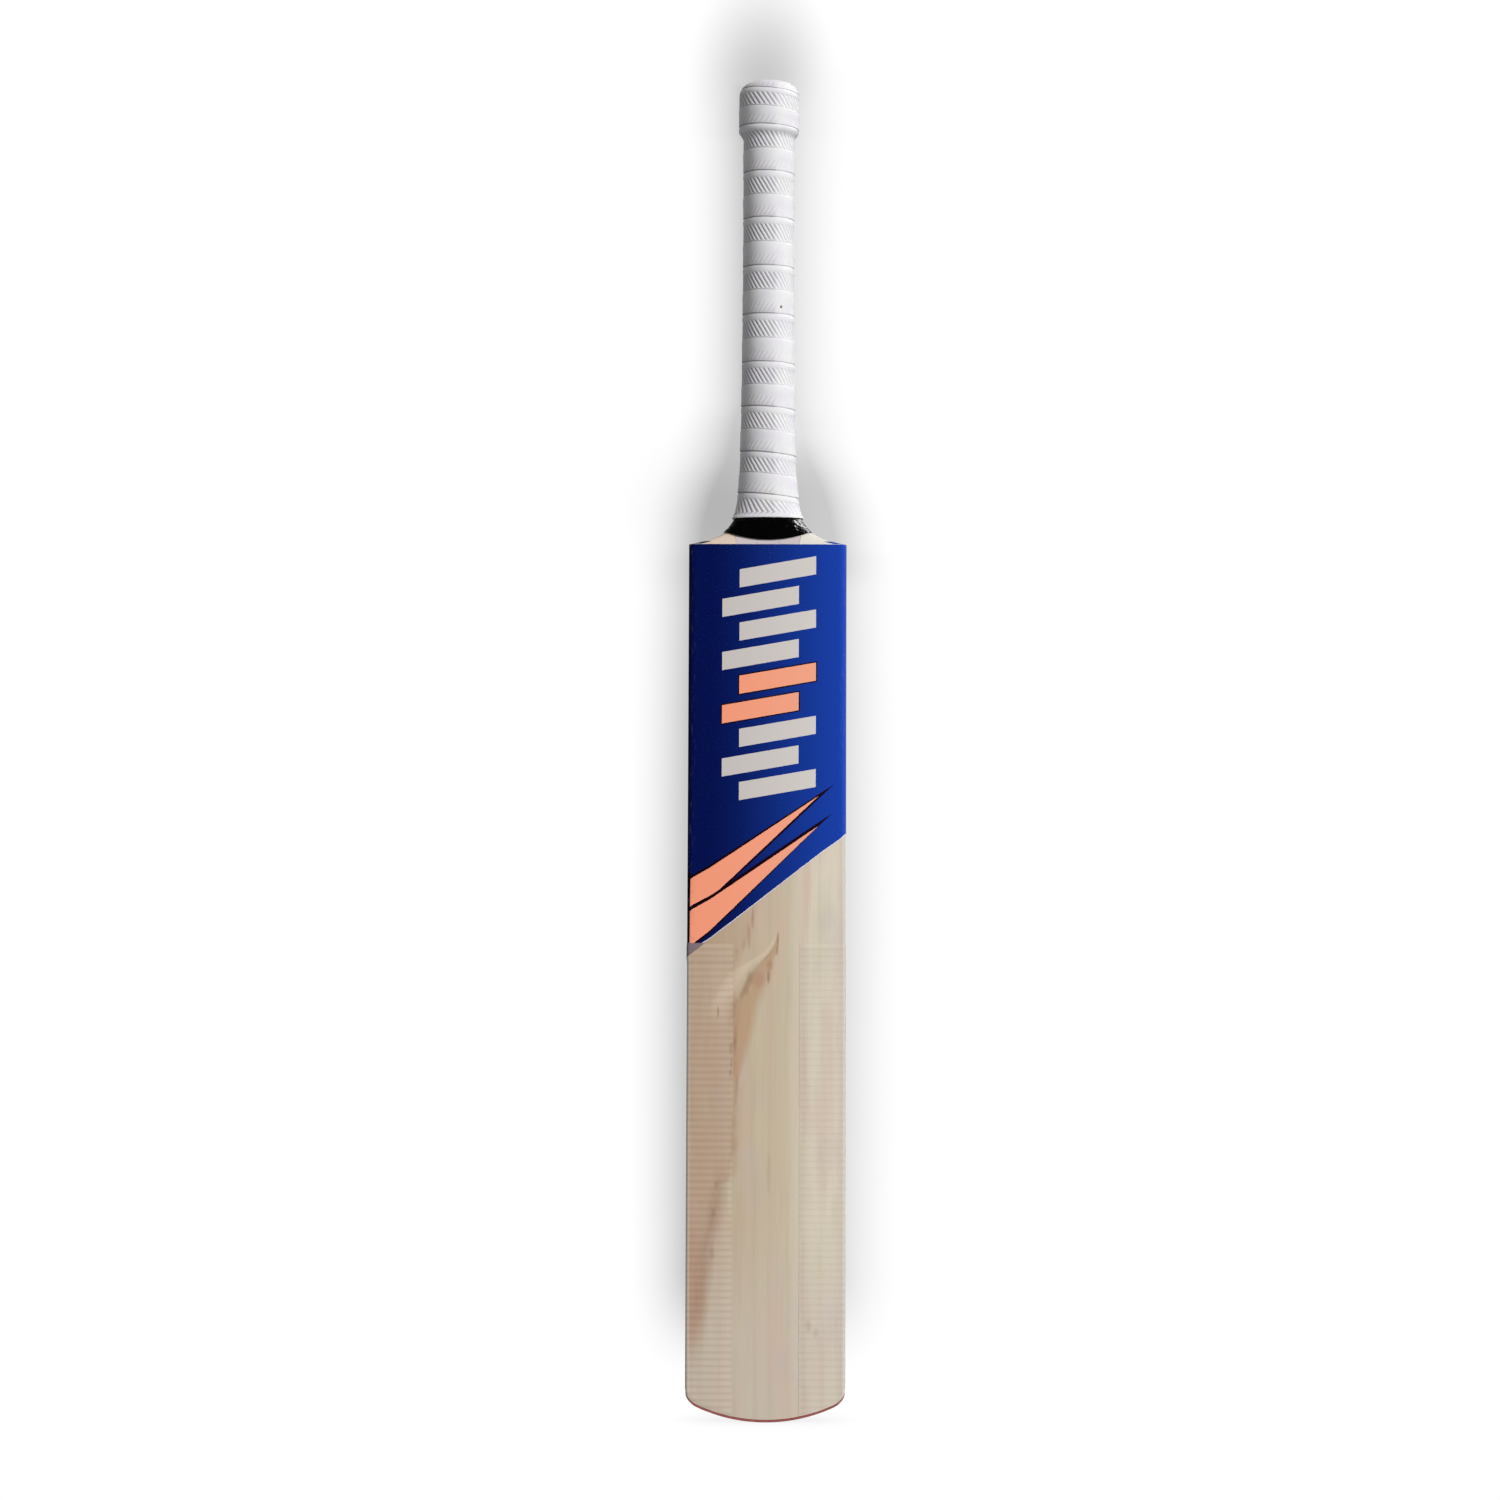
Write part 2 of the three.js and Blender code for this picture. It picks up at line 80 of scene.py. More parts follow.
# ---- The bat's form ----
HANDLE_Y = -10.5
TOE_HALF_WIDTH = 51
SHOULDER_HALF_WIDTH = 50.1
STICKER_SLOPE = (STICKER_RIGHT_Z - STICKER_LEFT_Z) / (2 * SHOULDER_HALF_WIDTH)
DEPTH_HEIGHTS = (-5, 40, 110, 205, 300, 400, 480, 562)
SPINE_DEPTH = (23, 36, 51, 61, 57, 47.5, 39.5, 34)
EDGE_DEPTH = (17, 25, 31.5, 35, 33.5, 28.5, 23.5, 20.5)
FACE_CAMBER = 0.5
FLAT_SHARE = 0.42
FRONT_CORNER = (2.2, 4.5)  # low on the blade, and at the shoulder
BACK_CORNER = 6
SCALLOP_POWER = 1.5
RIDGE_ROUNDING = 0.15
FLARE_REACH = 19.8
NECK_ROLL = 12
NECK_BLEND = 26
HANDLE_HALF_WIDTH = 13.8
HANDLE_SWELL = 1.2
HANDLE_HALF_DEPTH = 15
TOE_RADIUS = 105
TOE_CORNER = 14
GUARD_THICKNESS = 1.5
GLUE = 0.1
STICKER_OUTER = 0.35  # the printed sheets' outside, as a distance from the wood
HALF = 14  # stations round half a section; 0 is the middle of the face, and they run to the right
FAR = 60


def curve_through(knots):
    """A smooth curve through (height, value) knots that never overshoots them."""
    at, value = np.array(knots, float).T
    slope = np.diff(value) / np.diff(at)
    tangent = np.concatenate([slope[:1], np.zeros(len(at) - 2), slope[-1:]])
    for i in range(1, len(at) - 1):
        before, after = slope[i - 1], slope[i]
        tangent[i] = 0 if before * after <= 0 else 2 * before * after / (before + after)

    def curve(z):
        z = np.clip(z, at[0], at[-1])
        i = np.clip(np.searchsorted(at, z, side="right") - 1, 0, len(at) - 2)
        span = at[i + 1] - at[i]
        t = (z - at[i]) / span
        rise = t * t * (3 - 2 * t)
        bend = span * t * (1 - t) * ((1 - t) * tangent[i] - t * tangent[i + 1])
        return value[i] * (1 - rise) + value[i + 1] * rise + bend

    return curve


spine_depth = curve_through(list(zip(DEPTH_HEIGHTS, SPINE_DEPTH)))
edge_depth = curve_through(list(zip(DEPTH_HEIGHTS, EDGE_DEPTH)))


def smoothstep(t):
    t = np.clip(t, 0, 1)
    return t * t * (3 - 2 * t)


def handle_half_width(z):
    return HANDLE_HALF_WIDTH + HANDLE_SWELL * np.clip((750 - z) / 150, 0, 1.2)


def half_width(z):
    z = np.asarray(z, float)
    blade = TOE_HALF_WIDTH + (SHOULDER_HALF_WIDTH - TOE_HALF_WIDTH) * z / SHOULDER_Z
    above = np.maximum(0, z - SHOULDER_Z)
    flare = SHOULDER_HALF_WIDTH - handle_half_width(SHOULDER_Z)
    neck = handle_half_width(z) + flare / (1 + above / FLARE_REACH) ** 3
    return np.where(z <= SHOULDER_Z, blade, neck)


def camber(share):
    return FACE_CAMBER * (np.maximum(0, share - FLAT_SHARE) / (1 - FLAT_SHARE)) ** 2


def scallop(share):
    """How far the back has risen from the edge (0) to the spine (1), a share of the way across."""
    rounded = np.hypot(1 - share, RIDGE_ROUNDING) - RIDGE_ROUNDING
    whole = math.hypot(1, RIDGE_ROUNDING) - RIDGE_ROUNDING
    return np.maximum(0, 1 - rounded / whole) ** SCALLOP_POWER


def front_corner(z):
    low_radius, shoulder_radius = FRONT_CORNER
    return low_radius + (shoulder_radius - low_radius) * smoothstep((z - 290) / 160)


def blade_outline(f, w, corner, front, edge, spine):
    """The right half of a blade section at station f: face, corner, side, corner, hollowed back."""
    corner_share = (w - corner) / w
    corner_y = front + camber(corner_share)
    inner_share = np.interp(f, [0, 1, 2, 3], [0, 0.21, 0.42, 0.72])
    share = np.where(f <= 3, inner_share, 0.72 + (corner_share - 0.72) * (f - 3))
    turn = np.clip(f - 4, 0, 2) * math.pi / 4
    back_turn = np.clip(f - 7, 0, 2) * math.pi / 4
    side_from = corner_y + corner
    side_to = front + edge - BACK_CORNER
    across = np.clip((f - 9) / 5, 0, 1)
    pieces = [f <= 4, f <= 6, f <= 7, f <= 9]
    x = np.select(
        pieces,
        [share * w, w - corner * (1 - np.sin(turn)), w, w - BACK_CORNER * (1 - np.cos(back_turn))],
        (w - BACK_CORNER) * (1 - across),
    )
    y = np.select(
        pieces,
        [
            front + camber(share),
            corner_y + corner * (1 - np.cos(turn)),
            side_from + (side_to - side_from) * (f - 6),
            front + edge - BACK_CORNER * (1 - np.sin(back_turn)),
        ],
        front + edge + (spine - edge) * scallop(across),
    )
    return x, y


def wood(f, z):
    """The bare wood's surface at station f and height z."""
    f, z = np.broadcast_arrays(np.asarray(f, float), np.asarray(z, float))
    f = (f + HALF) % (2 * HALF) - HALF
    side = np.where(f < 0, -1, 1)
    f = np.abs(f)
    w = half_width(z)
    above = np.maximum(0, z - SHOULDER_Z)
    roll = 1 - np.exp(-above / NECK_ROLL)
    front = FACE_Y + (HANDLE_Y - HANDLE_HALF_DEPTH - FACE_Y) * roll
    spine = FACE_Y + spine_depth(z)
    back = spine + (HANDLE_Y + HANDLE_HALF_DEPTH - spine) * roll
    x, y = blade_outline(f, w, front_corner(z), front, edge_depth(z), back - front)
    oval = smoothstep(above / NECK_BLEND)
    angle = math.pi * f / HALF
    x = x + (w * np.sin(angle) - x) * oval
    y = y + ((front + back) / 2 - (back - front) / 2 * np.cos(angle) - y) * oval
    return side * x, y


def surface(f, z, distance=0.0):
    """Points at a distance out from the wood."""
    f, z = np.broadcast_arrays(np.asarray(f, float), np.asarray(z, float))
    step = 0.01
    x0, y0 = wood(f - step, z)
    x1, y1 = wood(f + step, z)
    length = np.hypot(x1 - x0, y1 - y0)
    x, y = wood(f, z)
    return np.stack([x + (y1 - y0) / length * distance, y - (x1 - x0) / length * distance, z], -1)


def toe_z(x):
    """The toe's outline: a shallow arc between two corner arcs."""
    x = np.abs(x)
    corner_x = TOE_HALF_WIDTH + 1 - TOE_CORNER
    lean = math.asin(corner_x / (TOE_RADIUS - TOE_CORNER))
    corner_z = TOE_RADIUS - (TOE_RADIUS - TOE_CORNER) * math.cos(lean)
    middle = TOE_RADIUS - np.sqrt(TOE_RADIUS**2 - np.minimum(x, 90) ** 2)
    corner = corner_z - np.sqrt(np.maximum(0, TOE_CORNER**2 - (x - corner_x) ** 2))
    return np.where(x <= TOE_RADIUS * math.sin(lean), middle, corner)


def neck_edge_z(x):
    """The neck tape's lower edge, low at the front and back and high at the sides."""
    rise = 5.7
    return NECK_FRONT_Z + rise * (x / 28.8) ** 2


# ---- Meshes ----
def add_object(name, data):
    made = bpy.data.objects.new(name, data)
    bpy.context.scene.collection.objects.link(made)
    return made


def spans(*pairs):
    """Values from span to span: each pair is a value and how many steps follow it."""
    values = []
    for (start, count), (end, _) in zip(pairs, pairs[1:]):
        values += list(np.linspace(start, end, count, endpoint=False))
    return np.array(values + [pairs[-1][0]])


def full_ring(half):
    """All the stations round a section, from those of its right half."""
    return np.concatenate([half, 2 * HALF - half[-2:0:-1]])


RING = full_ring(spans((0, 14), (3, 6), (4, 8), (6, 4), (7, 7), (9, 26), (12.6, 20), (14, 0)))


def tube_faces(rows, columns, closed=True):
    """Quads between rows of points; closed joins the last column to the first."""
    faces = []
    for r in range(rows - 1):
        for c in range(columns if closed else columns - 1):
            a, b = r * columns + c, r * columns + (c + 1) % columns
            faces.append((a, b, b + columns, a + columns))
    return faces


def make_piece(name, points, faces, sharp=35):
    """A mesh object from millimetre points."""
    mesh = bpy.data.meshes.new(name)
    mesh.from_pydata((np.asarray(points, float) * MM).tolist(), [], faces)
    piece = add_object(name, mesh)
    soften(piece, sharp)
    return piece


def soften(piece, sharp=35):
    """Smooth shading, but for the edges that turn by more than an angle in degrees."""
    piece.data.shade_smooth()
    piece.data.set_sharp_from_angle(angle=math.radians(sharp))


def cap_faces(ring, inner, start):
    """Triangles that fill a ring of plan points; start is the index of the first inner point."""
    count = len(ring)
    plan = [Vector(p) for p in np.vstack([ring, inner])]
    _, _, triangles, origins, _, _ = delaunay_2d_cdt(plan, [], [list(range(count))], 1, 1e-7)
    index = [o[0] if o[0] < count else start + o[0] - count for o in origins]
    return [tuple(index[v] for v in triangle) for triangle in triangles]


def plan_grid(ring, step, margin):
    """Points on a square grid inside a ring, at least a margin from it."""
    xs = np.arange(ring[:, 0].min() + margin, ring[:, 0].max() - margin, step)
    ys = np.arange(ring[:, 1].min() + margin, ring[:, 1].max() - margin, step)
    grid = np.array([(x, y) for x in xs for y in ys])
    x, y = grid.T
    gap = np.hypot(x[:, None] - ring[:, 0], y[:, None] - ring[:, 1]).min(1)
    inside = np.zeros(len(grid), bool)
    for (x0, y0), (x1, y1) in zip(ring, np.roll(ring, -1, 0)):
        if y0 != y1:
            crosses = (y < y0) != (y < y1)
            inside ^= crosses & (x < x0 + (y - y0) * (x1 - x0) / (y1 - y0))
    return grid[inside & (gap > margin)]


def closed_loft(name, rings, end_z=(None, None)):
    """A solid through rings of points; end_z has the ends' heights as functions of x, or None if flat."""
    columns = len(rings[0])
    points = list(np.vstack(rings))
    faces = tube_faces(len(rings), columns)
    ends = ((rings[0], 0, end_z[0]), (rings[-1], (len(rings) - 1) * columns, end_z[1]))
    for ring, offset, height in ends:
        inner = plan_grid(ring[:, :2], 3.0, 1.2) if height else np.zeros((0, 2))
        start = len(points)
        points += [(x, y, float(height(x))) for x, y in inner]
        for a, b, c in cap_faces(ring[:, :2], inner, start - offset):
            triangle = (a + offset, b + offset, c + offset)
            faces.append(triangle if offset else triangle[::-1])
    return make_piece(name, points, faces)


def box_piece(x, y, z):
    corners = [(a, b, c) for c in z for b in y for a in x]
    faces = [(0, 2, 3, 1), (4, 5, 7, 6), (0, 1, 5, 4), (2, 6, 7, 3), (0, 4, 6, 2), (1, 3, 7, 5)]
    return make_piece("cutter", corners, faces)


def prism_piece(right_half):
    """The right half of a front-view outline, bottom to top, mirrored and carried through the bat."""
    outline = right_half + [(-x, z) for x, z in reversed(right_half)]
    count = len(outline)
    points = [(x, y, z) for y in (-FAR, FAR) for x, z in outline]
    faces = [(i, i + count, (i + 1) % count + count, (i + 1) % count) for i in range(count)]
    faces += [tuple(range(count)), tuple(range(2 * count - 1, count - 1, -1))]
    return make_piece("cutter", points, faces)


def cut(piece, tool, operation="DIFFERENCE"):
    """Cuts a piece with a tool, which is then gone."""
    modifier = piece.modifiers.new("cut", "BOOLEAN")
    modifier.object = tool
    modifier.operation = operation
    modifier.solver = "MANIFOLD"
    bpy.context.view_layer.update()
    result = bpy.data.meshes.new_from_object(piece.evaluated_get(bpy.context.evaluated_depsgraph_get()))
    old = piece.data
    piece.modifiers.remove(modifier)
    piece.data = result
    bpy.data.meshes.remove(old)
    bpy.data.objects.remove(tool)


def sheet_faces(faces, count):
    """The outer faces of a thin sheet, the same on its inner points, count further on, and its rim."""
    sides = [(a, b) for face in faces for a, b in zip(face, face[1:] + face[:1])]
    both = set(sides)
    rim = [(b, a, a + count, b + count) for a, b in sides if (b, a) not in both]
    return faces + [tuple(v + count for v in face[::-1]) for face in faces] + rim


def shell(name, f, z, inner, outer):
    """A thin sheet on the wood: grids of stations and heights, and its inner and outer offsets."""
    rows, columns = np.broadcast(f, z).shape
    top = surface(f, z, outer).reshape(-1, 3)
    bottom = surface(f, z, inner).reshape(-1, 3)
    faces = sheet_faces(tube_faces(rows, columns, closed=False), len(top))
    return make_piece(name, np.vstack([top, bottom]), faces)


def settle(piece, slot, material, *nodes):
    """Gives a finished piece its material, its body and the CAD nodes that it stands for; the slot is not
    used.
    """
    if material is not None:
        piece.data.materials.clear()
        piece.data.materials.append(material)
    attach(piece, "root")
    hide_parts(*nodes)


# ---- Node-based finishes ----
def rgb(red, green, blue):
    """A linear colour from its screen values, 0 to 255."""
    screen = np.array([red, green, blue]) / 255
    linear = np.where(screen <= 0.04045, screen / 12.92, ((screen + 0.055) / 1.055) ** 2.4)
    return (*linear, 1)


def math_method(operation, swapped=False):
    """An operator for Value that adds a Math node; swapped puts the value itself second."""

    def method(self, *others):
        values = (self, *others)
        return self.nodes.math(operation, *(values[::-1] if swapped else values))

    return method


class Value:
    """What a node gives out. Arithmetic on it adds Math nodes."""

    def __init__(self, nodes, socket):
        self.nodes = nodes
        self.socket = socket

    __add__ = __radd__ = math_method("ADD")
    __mul__ = __rmul__ = math_method("MULTIPLY")
    __sub__ = math_method("SUBTRACT")
    __rsub__ = math_method("SUBTRACT", swapped=True)
    __truediv__ = math_method("DIVIDE")
    __pow__ = math_method("POWER")
    __abs__ = math_method("ABSOLUTE")
    sine = math_method("SINE")

    def wave(self, period):
        """Up to 1 and down to 0 once in each period."""
        return (self * (2 * math.pi / period)).sine() * 0.5 + 0.5

    def rise(self, start, end):
        """0 up to start, 1 from end, and a smooth step between; start above end makes it fall."""
        falls = int(start > end)
        limits = (min(start, end), max(start, end), falls, 1 - falls)
        return self.nodes.add("MapRange", self, *limits, interpolation_type="SMOOTHSTEP")


class Nodes:
    """A node tree, with short ways to add to it."""

    def __init__(self, tree):
        self.tree = tree

    def feed(self, socket, value):
        if isinstance(value, Value):
            self.tree.links.new(value.socket, socket)
        else:
            socket.default_value = value

    def add(self, kind, *values, inputs=None, output=0, **settings):
        """One output of a new node. values feed its first inputs, and inputs the ones that it names."""
        made = self.tree.nodes.new(f"ShaderNode{kind}")
        for key, value in settings.items():
            setattr(made, key, value)
        for key, value in {**dict(enumerate(values)), **(inputs or {})}.items():
            self.feed(made.inputs[key], value)
        return Value(self, made.outputs[output])

    def math(self, operation, *values):
        return self.add("Math", *values, operation=operation)

    def smaller(self, a, b):
        return self.math("MINIMUM", a, b)

    def larger(self, a, b):
        return self.math("MAXIMUM", a, b)

    def dot(self, a, b):
        return self.add("VectorMath", a, b, operation="DOT_PRODUCT", output="Value")

    def noise(self, x, y, z, detail=2.0, roughness=0.5):
        """Smooth noise from 0 to 1 that changes over about one unit of its coordinates."""
        place = self.add("CombineXYZ", x, y, z)
        return self.add("TexNoise", place, inputs={"Scale": 1, "Detail": detail, "Roughness": roughness})

    def path(self, value, knots):
        """A curve through (value, result) knots."""
        at, results = zip(*knots)
        start, size = min(at), max(at) - min(at)
        base, reach = min(results), max(results) - min(results)
        made = self.add("FloatCurve", inputs={"Value": (value - start) * (1 / size)})
        mapping = made.socket.node.mapping
        points = mapping.curves[0].points
        for _ in range(len(knots) - 2):
            points.new(0.5, 0.5)
        for point, (a, result) in zip(points, knots):
            point.location = ((a - start) / size, (result - base) / reach)
        mapping.update()
        return made * reach + base

    def blend(self, factor, a, b):
        """Colour a, going over to colour b as the factor goes from 0 to 1."""
        return self.add("Mix", inputs={0: factor, 6: a, 7: b}, output=2, data_type="RGBA")


class Finish(Nodes):
    """A procedural material that is painted in coats. x, y and z are the place in millimetres."""

    def __init__(self, name, *ink):
        self.material = bpy.data.materials.new(name)
        self.material.use_nodes = True
        super().__init__(self.material.node_tree)
        self.shader = self.tree.nodes["Principled BSDF"]
        place = self.add("TexCoord", output="Object")
        self.x, self.y, self.z = (self.add("SeparateXYZ", place, output=i) * (1 / MM) for i in range(3))
        self.colour = rgb(*ink) if ink else None

    def paint(self, amount, *ink):
        """Goes over to a new colour as far as the amount, from 0 to 1."""
        self.colour = self.blend(amount, self.colour, rgb(*ink))

    def grain(self, across, up, detail=2.0, roughness=0.5):
        """Noise with this many changes in a millimetre across the bat and up it."""
        return self.noise(self.x * across, self.y * across, self.z * up, detail, roughness)

    def spot(self, x, z, width, height, softness):
        """1 inside an ellipse of about these half sizes, 0 outside; its edge is soft at a softness of 1."""
        away = ((self.x - x) / width) ** 2 + ((self.z - z) / height) ** 2
        return away.rise(1 + softness, 1 - softness)

    def bump(self, height, depth, strength=1.0):
        """Relief that height, 0 to 1, raises by up to a depth in millimetres."""
        relief = {"Strength": strength, "Distance": depth * MM, "Height": height}
        self.feed(self.shader.inputs["Normal"], self.add("Bump", inputs=relief))

    def finished(self, roughness, **others):
        """The material; others are more inputs of its shader, with _ for each space in their names."""
        values = {"Base_Color": self.colour, "Roughness": roughness, **others}
        for name, value in values.items():
            self.feed(self.shader.inputs[name.replace("_", " ")], value)
        return self.material


def paint_willow(m):
    """Pale willow, darker and redder to the left. Gives its straight grain back, from 0 to 1."""
    clouds = m.grain(0.09, 0.012)
    patches = m.noise(m.x * 0.05 + 9, m.y * 0.05, m.z * 0.03, 3)
    m.colour = rgb(190, 165, 140)
    m.paint(m.x.rise(-52, 8), 205, 189, 163)
    m.paint(m.x.rise(4, 34), 226, 215, 196)
    m.paint(m.z.rise(150, 50) * 0.55, 208, 196, 183)
    m.paint(clouds.rise(0.45, 0.72) * 0.4, 214, 184, 168)
    m.paint(clouds.rise(0.48, 0.26) * 0.35, 208, 203, 172)
    m.paint(patches.rise(0.52, 0.74) * 0.3, 198, 188, 184)
    drift = m.grain(0.05, 0.004) - 0.5
    m.paint((m.x + drift * 12).wave(11) ** 4 * patches * 0.16, 166, 138, 108)
    fibre = m.grain(1.1, 0.02, 3, 0.6)
    m.paint(fibre.rise(0.45, 0.8) * 0.14, 168, 142, 112)
    on_face = m.y.rise(-18, -26)
    paint_heartwood(m, on_face)
    for x, z, width, height, strength in BLEMISHES:
        m.paint(m.spot(x, z, width, height, 0.95) * on_face * strength, 140, 104, 76)
    paint_worn_edges(m)
    return fibre


# Small marks in the willow's face: x, z, half width, half height, strength.
BLEMISHES = (
    (-10.6, 284, 1.9, 4.4, 0.35), (-12.8, 278, 1.7, 4.2, 0.3), (1.3, 285, 0.9, 4, 0.55),
    (7.2, 309, 0.7, 4.4, 0.45), (6.8, 302, 0.8, 3.2, 0.4), (2.2, 292.5, 1.9, 3.2, 0.3),
    (-8.9, 322, 0.9, 6, 0.35), (-11.2, 310, 1.2, 7, 0.25), (-30.8, 262.5, 0.6, 3.6, 0.65),
    (-22.6, 239, 0.8, 3.6, 0.5), (-22.4, 230, 0.8, 3.2, 0.5), (-22.8, 224, 0.8, 2.4, 0.5),
    (-18.6, 216, 1.2, 6, 0.2), (-31.6, 152, 1.4, 1.8, 0.4), (-33.4, 134, 1.5, 2.6, 0.5),
    (-34.2, 108, 1.4, 3.4, 0.35), (1.8, 160, 1.2, 13, 0.12), (27.5, 62, 1.7, 3.6, 0.2),
    (32.5, 57.5, 1.6, 3, 0.18),
)
# (height, x) along the brown zone's right side, and (height, x) and (height, half width) of the streak.
BROWN_EDGE = ((40, -50), (62, -44), (118, -38), (128, -33), (150, -31), (160, -21), (225, -19.5),
              (290, -19.5), (308, -13), (332, -7))
STREAK = ((214, -20.5), (231, -17.5), (244, -15.6), (257, -13.8), (266, -12.5), (275, -8.5),
          (284, -4.6), (296, 1.5), (303, 5.6), (312, 7.4))
STREAK_WIDTH = ((214, 1.4), (231, 3.4), (244, 4.6), (262, 6.6), (276, 6.4), (284, 6), (292, 4.4),
                (300, 2.0), (312, 0.5))


def paint_heartwood(m, on_face):
    """The brown zone at the left edge, its dark streak low down, and the streak that leads up from it."""
    wobble = m.noise(m.x * 0.15, m.y * 0.1, m.z * 0.03, 2) - 0.5
    from_edge = m.x - m.path(m.z, BROWN_EDGE) + wobble * 4
    zone = from_edge.rise(6, -6) * m.z.rise(36, 80) * on_face
    m.paint(zone * (m.z.rise(300, 225) * 0.24 + 0.2), 178, 136, 106)
    lower_x = (m.z - 138) * 0.17 - 32 + wobble * 6
    lower = abs(m.x - lower_x).rise(8, 0.5) * m.z.rise(42, 78) * m.z.rise(172, 140) * on_face
    m.paint(lower * 0.42, 146, 106, 82)
    m.paint(m.spot(-47, 84, 9, 40, 0.95) * on_face * 0.5, 172, 122, 92)
    rim = abs(from_edge + 1.5).rise(4.2, 0.2) * m.z.rise(45, 110) * m.z.rise(340, 300) * on_face
    patchy = m.noise(m.x * 0.3, 0, m.z * 0.08).rise(0.35, 0.7)
    m.paint(rim * patchy * 0.45, 164, 124, 94)

    across = (m.x - m.path(m.z, STREAK) + wobble * 2) / m.path(m.z, STREAK_WIDTH)
    streak = abs(across).rise(1.6, 0.3) * m.z.rise(208, 226) * m.z.rise(318, 307) * on_face
    m.paint(streak * 0.6, 188, 146, 108)
    pale = abs(across + 2.7).rise(1.3, 0.2) * m.z.rise(250, 275) * m.z.rise(330, 300) * on_face
    m.paint(pale * 0.4, 228, 210, 184)
    outline = abs(across + 0.95).rise(0.55, 0) * m.z.rise(222, 244) * m.z.rise(318, 296) * on_face
    m.paint(outline * (patchy * 0.3 + 0.2), 140, 104, 78)
    m.paint(m.spot(-5, 283.5, 3.8, 5.2, 0.9) * on_face * 0.35, 176, 128, 104)


def paint_worn_edges(m):
    """The left corner is rubbed paler and the right one greyer, and glue has bleached the shoulders."""
    in_front = m.y.rise(-14, -24)
    m.paint(m.x.rise(-48, -50.4) * in_front * 0.9, 240, 224, 208)
    m.paint(m.x.rise(45.5, 49.5) * in_front * 0.6, 192, 184, 178)
    bleached = m.blend(m.x.rise(-8, 12), rgb(228, 208, 190), rgb(234, 232, 224))
    m.colour = m.blend(m.z.rise(SHOULDER_Z - 4, SHOULDER_Z) * 0.8, m.colour, bleached)


def willow_finish():
    m = Finish("willow")
    fibre = paint_willow(m)
    m.bump(fibre, 0.08, 0.5)
    return m.finished(fibre * 0.16 + 0.42, Specular_IOR_Level=0.35)


RIB_PITCH = 4.37


def tape_finish():
    """Translucent fibreglass tape: the willow shows through, paler, under fine cross ribs."""
    m = Finish("fibre_tape")
    paint_willow(m)
    rib = m.z.wave(RIB_PITCH)
    strands = m.grain(0.2, 1.6)
    left = m.x.rise(20, -30)
    m.paint(0.12, 224, 216, 200)
    # The ribs' dark crests and pale troughs are partly the cross threads' own colour and partly painted
    # shade and highlight of the rib relief; the painted shade is stronger on the shaded left.
    m.paint(rib.rise(0.45, 1) * (left * 0.07 + 0.09), 138, 112, 92)
    m.paint(rib.rise(0.35, 0) * 0.08, 232, 218, 200)
    m.paint(strands.rise(0.5, 0.75) * 0.1, 158, 136, 122)
    sticker_edge = STICKER_LEFT_Z + STICKER_SLOPE * (m.x + SHOULDER_HALF_WIDTH)
    in_front = m.x.rise(-20, -30) * m.y.rise(-27.6, -28.6)
    over_sticker = (m.z - sticker_edge).rise(-0.3, 0.3) * in_front
    m.paint(over_sticker * 0.8, 112, 96, 116)
    m.bump(strands, 0.03, 0.4)
    return m.finished(rib * 0.12 + 0.34, Specular_IOR_Level=0.4)


def cane_finish():
    """Cane with long fibres and short dark pores, bleached by glue where it shows below the neck tape."""
    m = Finish("cane", 222, 196, 150)
    fibre = m.grain(2.4, 0.03, 3, 0.6)
    pores = m.grain(4, 0.22, 1)
    m.paint(fibre.rise(0.3, 0.7), 198, 164, 114)
    m.paint(pores.rise(0.62, 0.72) * 0.5, 132, 96, 56)
    bleached = m.z.rise(SHOULDER_Z - 6, SHOULDER_Z - 2) * m.y.rise(-12, -20)
    m.paint(bleached * 0.85, 208, 200, 208)
    m.bump(fibre * 0.6 + pores * 0.4, 0.1, 0.6)
    return m.finished(fibre * 0.2 + 0.42)


def spring_finish():
    m = Finish("spring_rubber", 42, 36, 33)
    dust = m.grain(0.8, 0.2, 3)
    m.paint(dust.rise(0.4, 0.8) * 0.5, 78, 70, 64)
    m.bump(dust, 0.08)
    return m.finished(dust * 0.2 + 0.65)


def thread_finish():
    m = Finish("thread", 176, 158, 124)
    turn = m.z.wave(0.9)
    m.paint(turn ** 2, 232, 220, 194)
    m.paint(m.grain(1.5, 1.5, 3).rise(0.5, 0.8) * 0.3, 196, 170, 126)
    m.bump(turn, 0.25)
    return m.finished(0.8)


def neck_tape_finish():
    m = Finish("black_tape", 2, 2, 3)
    smear = m.grain(0.5, 1.4, 3)
    m.paint(smear.rise(0.5, 0.8) * 0.5, 8, 8, 10)
    m.bump(m.grain(0.8, 1.4), 0.35, 0.9)
    return m.finished(smear * 0.12 + 0.06, Coat_Weight=0.4, Coat_Roughness=0.08)


def grip_finish():
    """Matt white rubber, with painted shade in its grooves, strongest on the left front away from the key
    light, and a little grime.
    """
    m = Finish("grip_rubber", 224, 222, 228)
    mottle = m.grain(0.12, 0.08, 3)
    m.paint(mottle.rise(0.3, 0.7), 230, 229, 229)
    groove_shade = m.add("Attribute", attribute_name="groove_shade", output="Fac")
    # painted shade: the grooves darken most on the left front, the side turned away from the key light
    shaded_side = (m.x.rise(6, 2.5) * 0.52 + 0.06) * (m.y.rise(-6, -14) * 0.8 + 0.2)
    m.paint(groove_shade * shaded_side, 104, 95, 108)
    m.paint(m.grain(0.4, 0.3, 3).rise(0.6, 0.85) * 0.16, 196, 186, 180)
    m.paint(m.spot(8, 714, 0.7, 0.9, 0.5) * m.y.rise(-14, -18), 104, 100, 98)
    m.bump(m.grain(3.2, 3.2), 0.03, 0.5)
    return m.finished(mottle * 0.12 + 0.5, Specular_IOR_Level=0.3)


